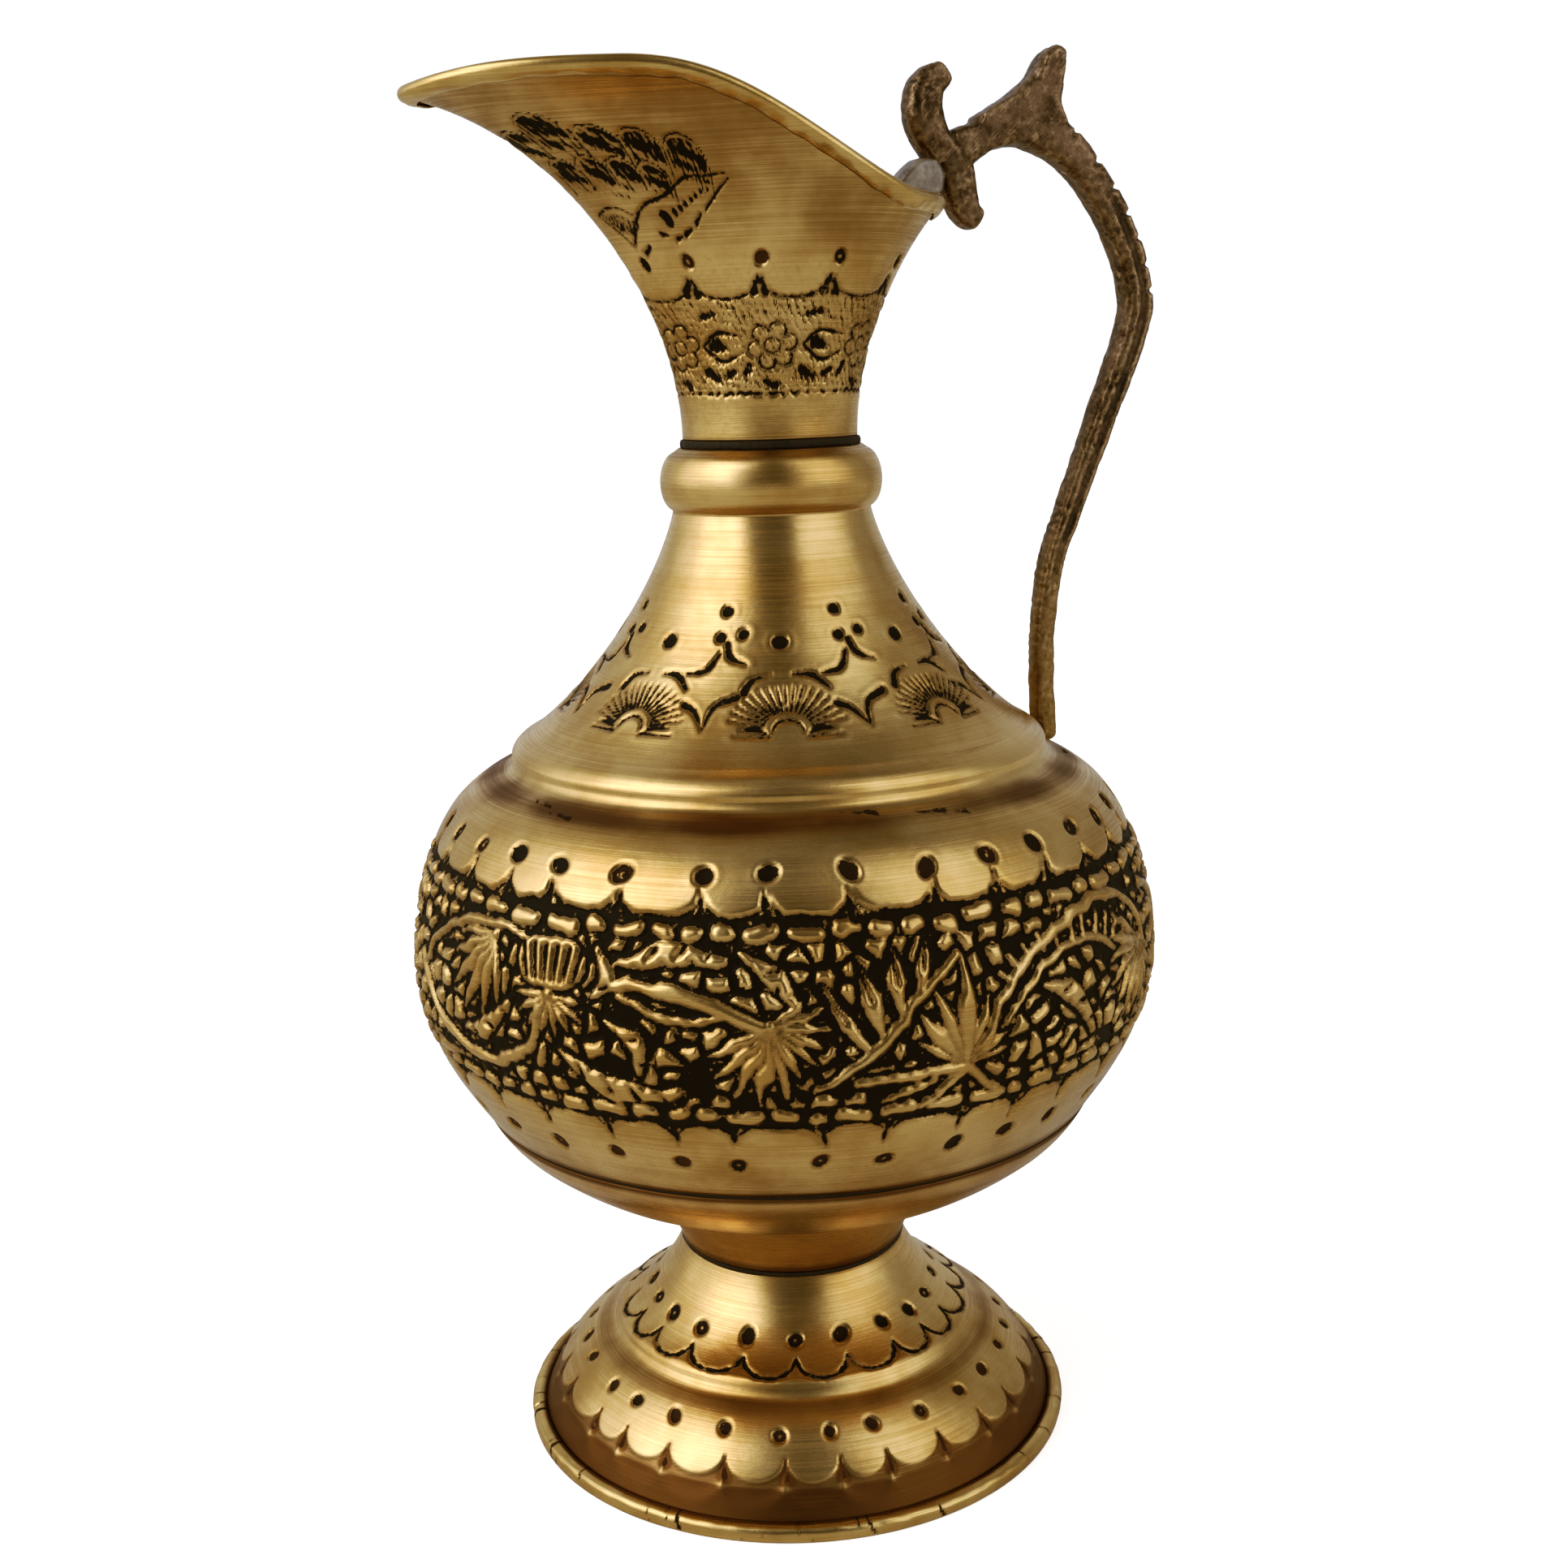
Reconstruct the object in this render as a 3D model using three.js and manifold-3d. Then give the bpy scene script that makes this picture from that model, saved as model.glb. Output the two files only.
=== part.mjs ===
// Embossed brass ewer: a spun pot on a pedestal foot, with a flared pouring spout and a cast handle.
// Millimetres, +Z up. The foot stands on Z = 0, and the origin is the centre of the footprint box.
// The spout points to -X and the handle to +X, so the plane Y = 0 is the plane of symmetry.
import * as THREE from "three";
import { mergeVertices } from "three/addons/utils/BufferGeometryUtils.js";
import Module from "manifold-3d";

const wasm = await Module();
wasm.setup();

// ---- Driving dimensions -------------------------------------------------------------------------
const FOOT_RADIUS = 55;
const BELLY_RADIUS = 72;
const SHOULDER_RADIUS = 51.4;
const CREASE_RADIUS = 18.7;
const NECK_RADIUS = 17.3;
const SPOUT_TUBE_RADIUS = 16.4;
const STEM_RADIUS = 22.5;
const SHEET = 1.0;
const GAP = 0.3;

// The pot's axis stands a little behind the origin, because the handle reaches further than the belly.
const HANDLE_REACH = 81.1;
const AXIS_X = (BELLY_RADIUS - HANDLE_REACH) / 2;

// Heights of the joints between the pieces, from the floor up.
const FOOT_TOP = 36.2;
const STEM_BOTTOM = 37.6;
const STEM_TOP = 51.0;
const PAN_BOTTOM = 52.1;
const PAN_EDGE = 69.4;
const BELLY_BOTTOM = 70.6;
const BELLY_WIDEST = 99;
const SHOULDER_RIDGE = 131.6;
const SHOULDER_BEAD = 138.3;
const CONE_BOTTOM = 142.2;
const CREASE = 183;
const NECK_TOP = 194.5;
const SPOUT_BOTTOM = 196;

// The mouth: a round opening behind, drawn out into a lip in front.
const MOUTH_RADIUS = 32.2;
const LIP_REACH = 31.8;
const LIP_HALF_WIDTH = THREE.MathUtils.degToRad(35);
const MOUTH_HIGH = 257.2;
const MOUTH_DROP = 20.6;
const LIP_DIP = 2;
const HEM_HEIGHT = 3.0;
const HEM_THICKNESS = 2.2;

const ROUND_SIDES = 40;
const CURVE_STEPS = 4;

// ---- Materials ----------------------------------------------------------------------------------
const brass = new THREE.MeshStandardMaterial({ color: 0xbb9a56, roughness: 0.35, metalness: 1 });
const bronze = new THREE.MeshStandardMaterial({ color: 0x6b5740, roughness: 0.6, metalness: 0.9 });
const blackSolder = new THREE.MeshStandardMaterial({ color: 0x1c1815, roughness: 0.7, metalness: 0.2 });
const greySolder = new THREE.MeshStandardMaterial({ color: 0x8c8379, roughness: 0.45, metalness: 0.8 });

// ---- Geometry helpers ---------------------------------------------------------------------------

// Keeps only the positions, joins shared vertices and turns the faces outwards.
function closedSolid(geometry) {
  geometry.deleteAttribute("normal");
  geometry.deleteAttribute("uv");
  const solid = mergeVertices(geometry, 1e-4);
  if (signedVolume(solid) < 0) {
    const order = solid.index.array;
    for (let i = 0; i < order.length; i += 3) {
      [order[i], order[i + 1]] = [order[i + 1], order[i]];
    }
  }
  return solid;
}

function signedVolume(geometry) {
  const position = geometry.attributes.position;
  const order = geometry.index.array;
  const corners = [new THREE.Vector3(), new THREE.Vector3(), new THREE.Vector3()];
  let volume = 0;
  for (let i = 0; i < order.length; i += 3) {
    corners.forEach((corner, k) => corner.fromBufferAttribute(position, order[i + k]));
    volume += corners[0].dot(corners[1].cross(corners[2])) / 6;
  }
  return volume;
}

// A solid of revolution about the pot's axis, from a closed outline of (radius, height) points.
function turned(outline) {
  const geometry = new THREE.LatheGeometry([...outline, outline[0]], ROUND_SIDES);
  geometry.rotateX(Math.PI / 2);
  geometry.translate(AXIS_X, 0, 0);
  return closedSolid(geometry);
}

// Moves an outer outline, listed upwards, towards the inside of the wall.
function insetOutline(outer, distance) {
  return outer.map((point, i) => {
    const before = outer[Math.max(i - 1, 0)];
    const after = outer[Math.min(i + 1, outer.length - 1)];
    const along = after.clone().sub(before).normalize();
    return new THREE.Vector2(point.x - along.y * distance, point.y + along.x * distance);
  });
}

// A spun sheet: the outer outline and the same outline one sheet thickness further in, both cut off
// level at the ends.
function spunSheet(path) {
  const outer = path.getPoints(CURVE_STEPS);
  const bottom = outer[0].y;
  const top = outer[outer.length - 1].y;
  const inner = insetOutline(outer, SHEET);
  inner.forEach((point) => { point.y = THREE.MathUtils.clamp(point.y, bottom, top); });
  return turned([...outer, ...inner.reverse()]);
}

// A flat-sided ring that fills a soldered joint.
function solderRing(innerRadius, outerRadius, bottom, top) {
  const middle = (bottom + top) / 2;
  return turned([
    new THREE.Vector2(innerRadius, bottom),
    new THREE.Vector2(outerRadius - 0.2, bottom),
    new THREE.Vector2(outerRadius, middle),
    new THREE.Vector2(outerRadius - 0.2, top),
    new THREE.Vector2(innerRadius, top),
  ]);
}

// Skins a row of equal loops of points. A closed row joins its last loop to its first, and an open
// row gets a pointed cap on each end, whose tip is the given point.
function skinned(loops, capTips) {
  const size = loops[0].length;
  const vertices = loops.flat();
  const faces = [];
  const lastRow = capTips ? loops.length - 1 : loops.length;
  for (let row = 0; row < lastRow; row++) {
    const next = (row + 1) % loops.length;
    for (let k = 0; k < size; k++) {
      const a = row * size + k;
      const b = row * size + ((k + 1) % size);
      const c = next * size + ((k + 1) % size);
      const d = next * size + k;
      faces.push(a, b, c, a, c, d);
    }
  }
  if (capTips) {
    const first = vertices.push(capTips[0]) - 1;
    const last = vertices.push(capTips[1]) - 1;
    const lastLoop = (loops.length - 1) * size;
    for (let k = 0; k < size; k++) {
      const after = (k + 1) % size;
      faces.push(first, after, k);
      faces.push(last, lastLoop + k, lastLoop + after);
    }
  }
  const geometry = new THREE.BufferGeometry().setFromPoints(vertices);
  geometry.setIndex(faces);
  return closedSolid(geometry);
}

// A bar whose spine lies in the plane Y = 0. Each station is [x, z, thickness, width]: the thickness
// is measured in the plane and the width across it. x is measured from the pot's axis.
function castBar(stations, steps) {
  const spine = new THREE.CatmullRomCurve3(
    stations.map(([x, z]) => new THREE.Vector3(AXIS_X + x, 0, z)), false, "centripetal");
  const sides = 10;
  const loops = [];
  for (let step = 0; step <= steps; step++) {
    const u = step / steps;
    const centre = spine.getPoint(u);
    const tangent = spine.getTangent(u);
    const across = new THREE.Vector3(-tangent.z, 0, tangent.x);
    const [thickness, width] = sizeAt(stations, u);
    const loop = [];
    for (let side = 0; side < sides; side++) {
      const turn = (2 * Math.PI * (side + 0.5)) / sides;
      const point = centre.clone().addScaledVector(across, (rounded(Math.cos(turn)) * thickness) / 2);
      point.y = (rounded(Math.sin(turn)) * width) / 2;
      loop.push(point);
    }
    loops.push(loop);
  }
  const bulge = 0.25;
  const tips = [0, 1].map((u) => {
    const outward = spine.getTangent(u).multiplyScalar(u === 0 ? -1 : 1);
    return spine.getPoint(u).addScaledVector(outward, bulge * sizeAt(stations, u)[0]);
  });
  return skinned(loops, tips);
}

// Thickness and width between the stations of a bar.
function sizeAt(stations, u) {
  const place = u * (stations.length - 1);
  const k = Math.min(Math.floor(place), stations.length - 2);
  const mix = place - k;
  return [2, 3].map((i) => THREE.MathUtils.lerp(stations[k][i], stations[k + 1][i], mix));
}

// Pushes a circle's coordinate out towards a square with round corners.
function rounded(value) {
  return Math.sign(value) * Math.abs(value) ** 0.7;
}

// A plate cut to an outline in the plane Y = 0 and centred on it.
function plate(corners, thickness) {
  const outline = new THREE.Shape(corners.map(([x, z]) => new THREE.Vector2(AXIS_X + x, z)));
  const geometry = new THREE.ExtrudeGeometry(outline, { depth: thickness, bevelEnabled: false, steps: 1 });
  geometry.rotateX(Math.PI / 2);
  geometry.translate(0, thickness / 2, 0);
  return closedSolid(geometry);
}

// Joins solids into one.
function joined(geometries) {
  const solids = geometries.map((geometry) => new wasm.Manifold(new wasm.Mesh({
    numProp: 3,
    vertProperties: new Float32Array(geometry.attributes.position.array),
    triVerts: new Uint32Array(geometry.index.array),
  })));
  const mesh = solids.reduce((whole, solid) => whole.add(solid)).getMesh();
  const geometry = new THREE.BufferGeometry();
  geometry.setAttribute("position", new THREE.BufferAttribute(new Float32Array(mesh.vertProperties), 3));
  geometry.setIndex(new THREE.BufferAttribute(new Uint32Array(mesh.triVerts), 1));
  return geometry;
}

// ---- The foot -----------------------------------------------------------------------------------

// The ring that the pot stands on: a strip bent round the foot's edge, with a flat sole and a butt
// joint whose two ends nearly touch.
function footRimRing() {
  const radius = 1.65;
  const centre = FOOT_RADIUS - radius;
  const jointAt = THREE.MathUtils.degToRad(170);
  const jointGap = 0.3 / FOOT_RADIUS;
  const section = [
    [centre - 1.05, 0], [centre + 1.05, 0], [centre + radius, 0.9], [centre + radius, 2.1],
    [centre + 0.9, 3.1], [centre - 0.9, 3.1], [centre - radius, 2.1], [centre - radius, 0.9],
  ];
  const loops = [];
  for (let step = 0; step <= ROUND_SIDES; step++) {
    const turn = jointAt + jointGap + ((2 * Math.PI - 2 * jointGap) * step) / ROUND_SIDES;
    loops.push(section.map(([r, z]) => onCircle(r, turn, z)));
  }
  const ends = [loops[0], loops[ROUND_SIDES]].map(loopCentre);
  return skinned(loops, ends);
}

function onCircle(radius, turn, height) {
  return new THREE.Vector3(AXIS_X + radius * Math.cos(turn), radius * Math.sin(turn), height);
}

function loopCentre(loop) {
  return loop.reduce((sum, point) => sum.add(point), new THREE.Vector3()).divideScalar(loop.length);
}

// Flange, dome, step and flare, from the floor up to the stem.
function footFlare() {
  const path = new THREE.Path();
  path.moveTo(51.5, 3.7);
  path.lineTo(49.6, 7.6);
  path.bezierCurveTo(46.6, 12.2, 42.6, 16.0, 38.2, 18.2);
  path.quadraticCurveTo(36.6, 18.9, 36.2, 20.4);
  path.quadraticCurveTo(35.8, 21.6, 34.4, 22.1);
  path.bezierCurveTo(28.5, 25.5, 24.3, 31, STEM_RADIUS, FOOT_TOP);
  return spunSheet(path);
}

function footStem() {
  const path = new THREE.Path();
  path.moveTo(STEM_RADIUS, STEM_BOTTOM);
  path.bezierCurveTo(23.4, 41, 27, 45.2, 32.7, STEM_TOP);
  return spunSheet(path);
}

// ---- The body -----------------------------------------------------------------------------------

// The dish that closes the belly from below, with its edge turned up to meet the belly.
function basePan() {
  const path = new THREE.Path();
  path.moveTo(0, PAN_BOTTOM);
  path.lineTo(33, PAN_BOTTOM);
  path.bezierCurveTo(40, 52.6, 48, 57.2, 54.5, 62.6);
  path.quadraticCurveTo(58, 65.4, 60.1, PAN_EDGE);
  const outer = path.getPoints(CURVE_STEPS);
  const inner = insetOutline(outer, SHEET).reverse();
  inner[0].y = PAN_EDGE;
  inner[inner.length - 1].x = 0;
  return turned([...outer, ...inner]);
}

// Belly, shoulder, cone and neck bead are one spinning.
function bodyShell() {
  const path = new THREE.Path();
  path.moveTo(60.6, BELLY_BOTTOM);
  path.bezierCurveTo(66.6, 79.4, BELLY_RADIUS, 88, BELLY_RADIUS, BELLY_WIDEST);
  path.bezierCurveTo(BELLY_RADIUS, 112, 67.5, 126, 60, SHOULDER_RIDGE);
  path.quadraticCurveTo(57, 133.9, 54.2, 135);
  path.quadraticCurveTo(SHOULDER_RADIUS - 0.6, 136, SHOULDER_RADIUS, SHOULDER_BEAD);
  path.quadraticCurveTo(51, 140.6, 47.3, CONE_BOTTOM);
  path.bezierCurveTo(33.5, 152, 21.5, 171.5, CREASE_RADIUS, CREASE);
  path.bezierCurveTo(21.8, 184.2, 21.8, 192.4, 18.3, 193.8);
  path.lineTo(NECK_RADIUS, NECK_TOP);
  return spunSheet(path);
}

// ---- The spout ----------------------------------------------------------------------------------

// The mouth's edge at an angle from the lip, 0 at the lip and pi behind: [radius, height].
function mouthEdge(angle) {
  const radius = MOUTH_RADIUS + LIP_REACH * Math.exp(-((angle / LIP_HALF_WIDTH) ** 1.64));
  const fall = THREE.MathUtils.smoothstep(THREE.MathUtils.radToDeg(angle), 38, 130);
  const dip = LIP_DIP * Math.exp(-((THREE.MathUtils.radToDeg(angle) / 14) ** 2));
  return [radius, MOUTH_HIGH - MOUTH_DROP * fall - dip];
}

// How far round from the lip an angle is: 0 at the lip, and 1 from the mouth's sides to its back.
function fromLipToSide(angle) {
  return THREE.MathUtils.smoothstep(THREE.MathUtils.radToDeg(angle), 0, 90);
}

// One line up the spout's outside, from the neck to the mouth, as a curve in the plane (radius, height).
function spoutLine(angle) {
  const [radius, height] = mouthEdge(angle);
  const side = fromLipToSide(angle);
  const slope = THREE.MathUtils.degToRad(12 + 33 * side);
  const flare = 0.4 - 0.32 * side;
  const start = new THREE.Vector2(SPOUT_TUBE_RADIUS, SPOUT_BOTTOM);
  const end = new THREE.Vector2(radius, height);
  const reach = start.distanceTo(end);
  const lower = new THREE.Vector2(start.x, start.y + (0.28 + 0.21 * side) * reach);
  const upper = new THREE.Vector2(
    end.x - flare * reach * Math.cos(slope), end.y - flare * reach * Math.sin(slope));
  return new THREE.CubicBezierCurve(start, lower, upper, end);
}

// Turns a (radius, height) point to its place at an angle from the lip.
function aroundSpout(point, angle) {
  return onCircle(point.x, Math.PI - angle, point.y);
}

// Calls make(angle from the lip) for each side of the spout, all the way round.
function spoutLoops(make) {
  const loops = [];
  for (let side = 0; side < ROUND_SIDES; side++) {
    const turn = (2 * Math.PI * side) / ROUND_SIDES;
    const fromLip = Math.min(turn, 2 * Math.PI - turn);
    loops.push(make(fromLip).map((point) => aroundSpout(point, turn)));
  }
  return loops;
}

// The wall stops short of the mouth's edge, which the hem takes over.
function spoutFunnel() {
  const loops = spoutLoops((angle) => {
    const line = spoutLine(angle);
    const wallEnd = 1 - (HEM_HEIGHT / 2 + GAP) / line.getLength();
    const outer = [];
    const rows = 9;
    for (let row = 0; row <= rows; row++) {
      outer.push(line.getPointAt((wallEnd * row) / rows));
    }
    return [...outer, ...insetOutline(outer, SHEET).reverse()];
  });
  return skinned(loops);
}

// The edging strip that is folded over the mouth's edge.
function mouthRim() {
  const loops = spoutLoops((angle) => {
    const line = spoutLine(angle);
    const centre = line.getPoint(1);
    const along = line.getTangent(1);
    const out = new THREE.Vector2(along.y, -along.x);
    const points = [];
    const sides = 8;
    for (let side = 0; side < sides; side++) {
      const turn = (2 * Math.PI * side) / sides;
      points.push(centre.clone()
        .addScaledVector(along, (Math.cos(turn) * HEM_HEIGHT) / 2)
        .addScaledVector(out, (Math.sin(turn) * HEM_THICKNESS) / 2 - SHEET / 4));
    }
    return points;
  });
  return skinned(loops);
}

// ---- The handle ---------------------------------------------------------------------------------

// One casting: a curved bar that tapers down to the shoulder, with a head that carries a curled
// thumb piece in front, a hanging point behind the rim and a horn at the back.
function handle() {
  const bar = castBar([
    [57.8, 134.9, 4.6, 5.2], [57.2, 146, 4.6, 5.2], [57.4, 157, 4.8, 5.4], [59.4, 169.5, 5.0, 5.8],
    [62.6, 178, 5.2, 6.0], [66.2, 187, 5.4, 6.2], [70.2, 197, 5.8, 6.6], [74.1, 206.5, 6.0, 7.0],
    [76.8, 213.5, 6.2, 7.2], [HANDLE_REACH - 3.04, 219.5, 6.4, 7.4], [76.6, 226.5, 6.4, 7.4],
    [73.6, 233.6, 6.6, 7.4], [69.6, 240.2, 6.8, 7.4], [64.6, 246.2, 7.2, 7.4], [58.8, 250.4, 8.0, 7.4],
    [51.5, 252.2, 7.4, 7.4], [45, 250.8, 6.6, 7.4], [38.2, 247.6, 8.0, 7.4],
  ], 48);
  const curl = castBar([
    [36.6, 246.2, 6.6, 6.6], [33.4, 250.2, 6.8, 7.0], [31.9, 255, 7.2, 7.0], [33, 259.4, 6.6, 6.6],
    [36.6, 261.8, 4.4, 5.6],
  ], 14);
  const point = castBar([
    [37.6, 249, 7.0, 6.6], [38.6, 244.4, 6.6, 6.4], [39.9, 239.8, 6.8, 6.2], [42.4, 235.6, 5.0, 5.0],
  ], 8);
  const horn = plate([
    [42, 250], [42.4, 253.9], [49.6, 257.9], [54, 261.4], [57, 265.8], [59.2, 267.1], [61.2, 266.3],
    [60.8, 261.6], [60.2, 256.6], [61.8, 252.5], [56, 250],
  ], 7.0);
  return joined([bar, curl, point, horn]);
}

// The tab that hooks over the mouth's edge and is soldered to the inside of the wall.
function handleRimTab() {
  return plate([
    [33.4, 239.8], [33.0, 243.4], [31.3, 245.2], [30.2, 246.2], [28.0, 244.6], [25.2, 241.6],
    [23.6, 238.2], [22.8, 233.6], [23.6, 229.8], [24.9, 230.7], [27.0, 233.4], [29.5, 236.4], [31.6, 239.0],
  ], 6.4);
}

// ---- The whole pot ------------------------------------------------------------------------------

function piece(name, geometry, material) {
  const mesh = new THREE.Mesh(geometry, material);
  mesh.name = name;
  return mesh;
}

const ewer = new THREE.Group();
ewer.add(
  piece("foot_rim_ring", footRimRing(), brass),
  piece("foot_flare", footFlare(), brass),
  piece("stem_solder", solderRing(STEM_RADIUS - 1.2, STEM_RADIUS + 0.5, FOOT_TOP + GAP, STEM_BOTTOM - GAP), blackSolder),
  piece("foot_stem", footStem(), brass),
  piece("pan_solder", solderRing(31, 34, STEM_TOP + GAP, PAN_BOTTOM - GAP), greySolder),
  piece("base_pan", basePan(), brass),
  piece("seam_solder", solderRing(58.9, 60.3, PAN_EDGE + GAP, BELLY_BOTTOM - GAP), blackSolder),
  piece("body_shell", bodyShell(), brass),
  piece("neck_solder", solderRing(15.6, NECK_RADIUS, NECK_TOP + GAP, SPOUT_BOTTOM - GAP), blackSolder),
  piece("spout_funnel", spoutFunnel(), brass),
  piece("mouth_rim", mouthRim(), brass),
  piece("handle", handle(), bronze),
  piece("handle_rim_tab", handleRimTab(), greySolder),
);

export default ewer;
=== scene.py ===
# Embossed brass ewer, the visual model.
# The surfaces of revolution are fine grids, raised and sunk by fields worked out from punched motifs:
# dots, scallops, crescents, fans and vines. The same fields tell the materials where the black paint
# lies. Lengths are millimetres until a mesh is made, and positions are measured from the pot's axis.
import math
import bpy
import numpy as np
from mathutils import Matrix, Vector, noise


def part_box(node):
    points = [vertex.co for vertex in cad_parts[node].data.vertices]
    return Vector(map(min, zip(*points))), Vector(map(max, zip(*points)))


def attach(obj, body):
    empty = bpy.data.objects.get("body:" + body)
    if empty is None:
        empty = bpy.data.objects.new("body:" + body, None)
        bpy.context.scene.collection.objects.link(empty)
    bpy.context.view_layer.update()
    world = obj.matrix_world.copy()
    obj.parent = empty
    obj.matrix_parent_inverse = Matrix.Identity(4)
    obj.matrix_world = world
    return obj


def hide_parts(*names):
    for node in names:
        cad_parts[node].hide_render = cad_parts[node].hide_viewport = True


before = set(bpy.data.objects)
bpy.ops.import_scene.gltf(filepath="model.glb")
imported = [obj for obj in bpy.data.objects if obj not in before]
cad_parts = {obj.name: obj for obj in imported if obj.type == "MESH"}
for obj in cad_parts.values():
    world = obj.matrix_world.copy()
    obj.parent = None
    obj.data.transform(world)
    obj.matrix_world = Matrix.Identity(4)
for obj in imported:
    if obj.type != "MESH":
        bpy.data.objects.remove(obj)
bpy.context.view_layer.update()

# ---- Driving dimensions, from the frame ----------------------------------------------------------
MM = 0.001


def node_box(node):
    """The lowest and highest corners of a CAD node, in millimetres."""
    low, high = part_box(node)
    return np.array(low) / MM, np.array(high) / MM


PAN_LOW, PAN_HIGH = node_box("base_pan")
BODY_LOW, BODY_HIGH = node_box("body_shell")
RING_LOW, RING_HIGH = node_box("foot_rim_ring")
FLARE_LOW, FLARE_HIGH = node_box("foot_flare")
STEM_LOW, STEM_HIGH = node_box("foot_stem")
AXIS_X = (BODY_LOW[0] + BODY_HIGH[0]) / 2
BELLY_RADIUS = (BODY_HIGH[1] - BODY_LOW[1]) / 2
FOOT_RADIUS = (RING_HIGH[1] - RING_LOW[1]) / 2
STEM_RADIUS = 22.5
SHOULDER_RADIUS = 51.4
CREASE_RADIUS = 18.7
NECK_RADIUS = 17.3
TUBE_RADIUS = 16.4
SHEET = 1.0
# The spun sheets' unevenness, and how many outer rows go to one row inside.
SPUN_WAVE = 0.06
INNER_STEP = 6
BELLY_WIDEST = 99
SHOULDER_RIDGE = 131.6
CONE_BOTTOM = 142.2
CREASE = 183

# The direction that the camera stands in, seen from the pot's axis: motif angles are counted from
# there, growing to the right as the camera sees them.
FRONT = math.radians(-110)

# ---- Small maths ----------------------------------------------------------------------------------


def bezier(*points, count=24):
    """A quadratic or cubic Bezier curve as an array of points."""
    t = np.linspace(0, 1, count)[:, None]
    p = [np.array(point, float) for point in points]
    if len(p) == 3:
        return (1 - t) ** 2 * p[0] + 2 * (1 - t) * t * p[1] + t ** 2 * p[2]
    return (1 - t) ** 3 * p[0] + 3 * (1 - t) ** 2 * t * p[1] + 3 * (1 - t) * t ** 2 * p[2] + t ** 3 * p[3]


def chain(*curves):
    """Joins curves end to end, dropping repeated points."""
    points = [curves[0]]
    for curve in curves[1:]:
        keep = np.hypot(*(curve[0] - points[-1][-1])) > 1e-6
        points.append(curve if keep else curve[1:])
    return np.concatenate(points)


def arc_length(points):
    return np.concatenate([[0], np.cumsum(np.hypot(*np.diff(points, axis=0).T))])


def resample(points, zones):
    """Points along an outline: zones lists (up to this height, spacing) from the start to the end."""
    s = arc_length(points)
    places = [0.0]
    for height, spacing in zones:
        reached = s[np.nonzero(points[:, 1] <= height)[0][-1]]
        steps = max(1, round((reached - places[-1]) / spacing))
        places += list(np.linspace(places[-1], reached, steps + 1)[1:])
    places = np.array(places)
    return np.stack([np.interp(places, s, points[:, 0]), np.interp(places, s, points[:, 1])], -1)


def smooth(x, low, high):
    t = np.clip((x - low) / (high - low), 0, 1)
    return t * t * (3 - 2 * t)


def ripple(theta, s, seed, size=12.0):
    """A soft seamless unevenness between about -1 and 1, over the angle and the arc length."""
    rng = np.random.default_rng(seed)
    total = 0
    for _ in range(9):
        waves = rng.integers(1, int(450 / size))
        pitch = size * rng.uniform(0.8, 3.0)
        total = total + np.sin(waves * theta + 2 * math.pi * s / pitch + rng.uniform(0, 2 * math.pi))
    return total / 4.5


# ---- Meshes ---------------------------------------------------------------------------------------


def make_piece(name, vertices, faces, material, attributes=None):
    """A mesh piece from millimetre points and quads or triangles, riding on the pot."""
    mesh = bpy.data.meshes.new(name)
    faces = np.asarray(faces)
    count, sides = faces.shape
    mesh.vertices.add(len(vertices))
    mesh.vertices.foreach_set("co", (np.asarray(vertices) * MM).ravel())
    mesh.loops.add(count * sides)
    mesh.loops.foreach_set("vertex_index", faces.ravel())
    mesh.polygons.add(count)
    mesh.polygons.foreach_set("loop_start", np.arange(0, count * sides, sides))
    mesh.polygons.foreach_set("use_smooth", np.full(count, True))
    for key, values in (attributes or {}).items():
        if values.ndim == 2:
            layer = mesh.attributes.new(key, "FLOAT_VECTOR", "POINT")
            layer.data.foreach_set("vector", values.astype(np.float32).ravel())
        else:
            layer = mesh.attributes.new(key, "FLOAT", "POINT")
            layer.data.foreach_set("value", values.astype(np.float32))
    mesh.update(calc_edges=True)
    mesh.validate()
    piece = bpy.data.objects.new(name, mesh)
    bpy.context.scene.collection.objects.link(piece)
    mesh.materials.append(material)
    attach(piece, "root")
    return piece


def grid_faces(rows, columns, closed_rows):
    """Quads over a grid whose columns wrap round; closed_rows also joins the last row to the first."""
    row = np.arange(rows if closed_rows else rows - 1)[:, None]
    column = np.arange(columns)[None, :]
    after = (column + 1) % columns
    above = (row + 1) % rows
    quads = np.stack([row * columns + column, row * columns + after, above * columns + after,
                      above * columns + column], -1)
    return quads.reshape(-1, 4)


def outline_normals(points):
    along = np.gradient(points, axis=0)
    along /= np.hypot(*along.T)[:, None]
    return np.stack([along[:, 1], -along[:, 0]], -1)


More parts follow.
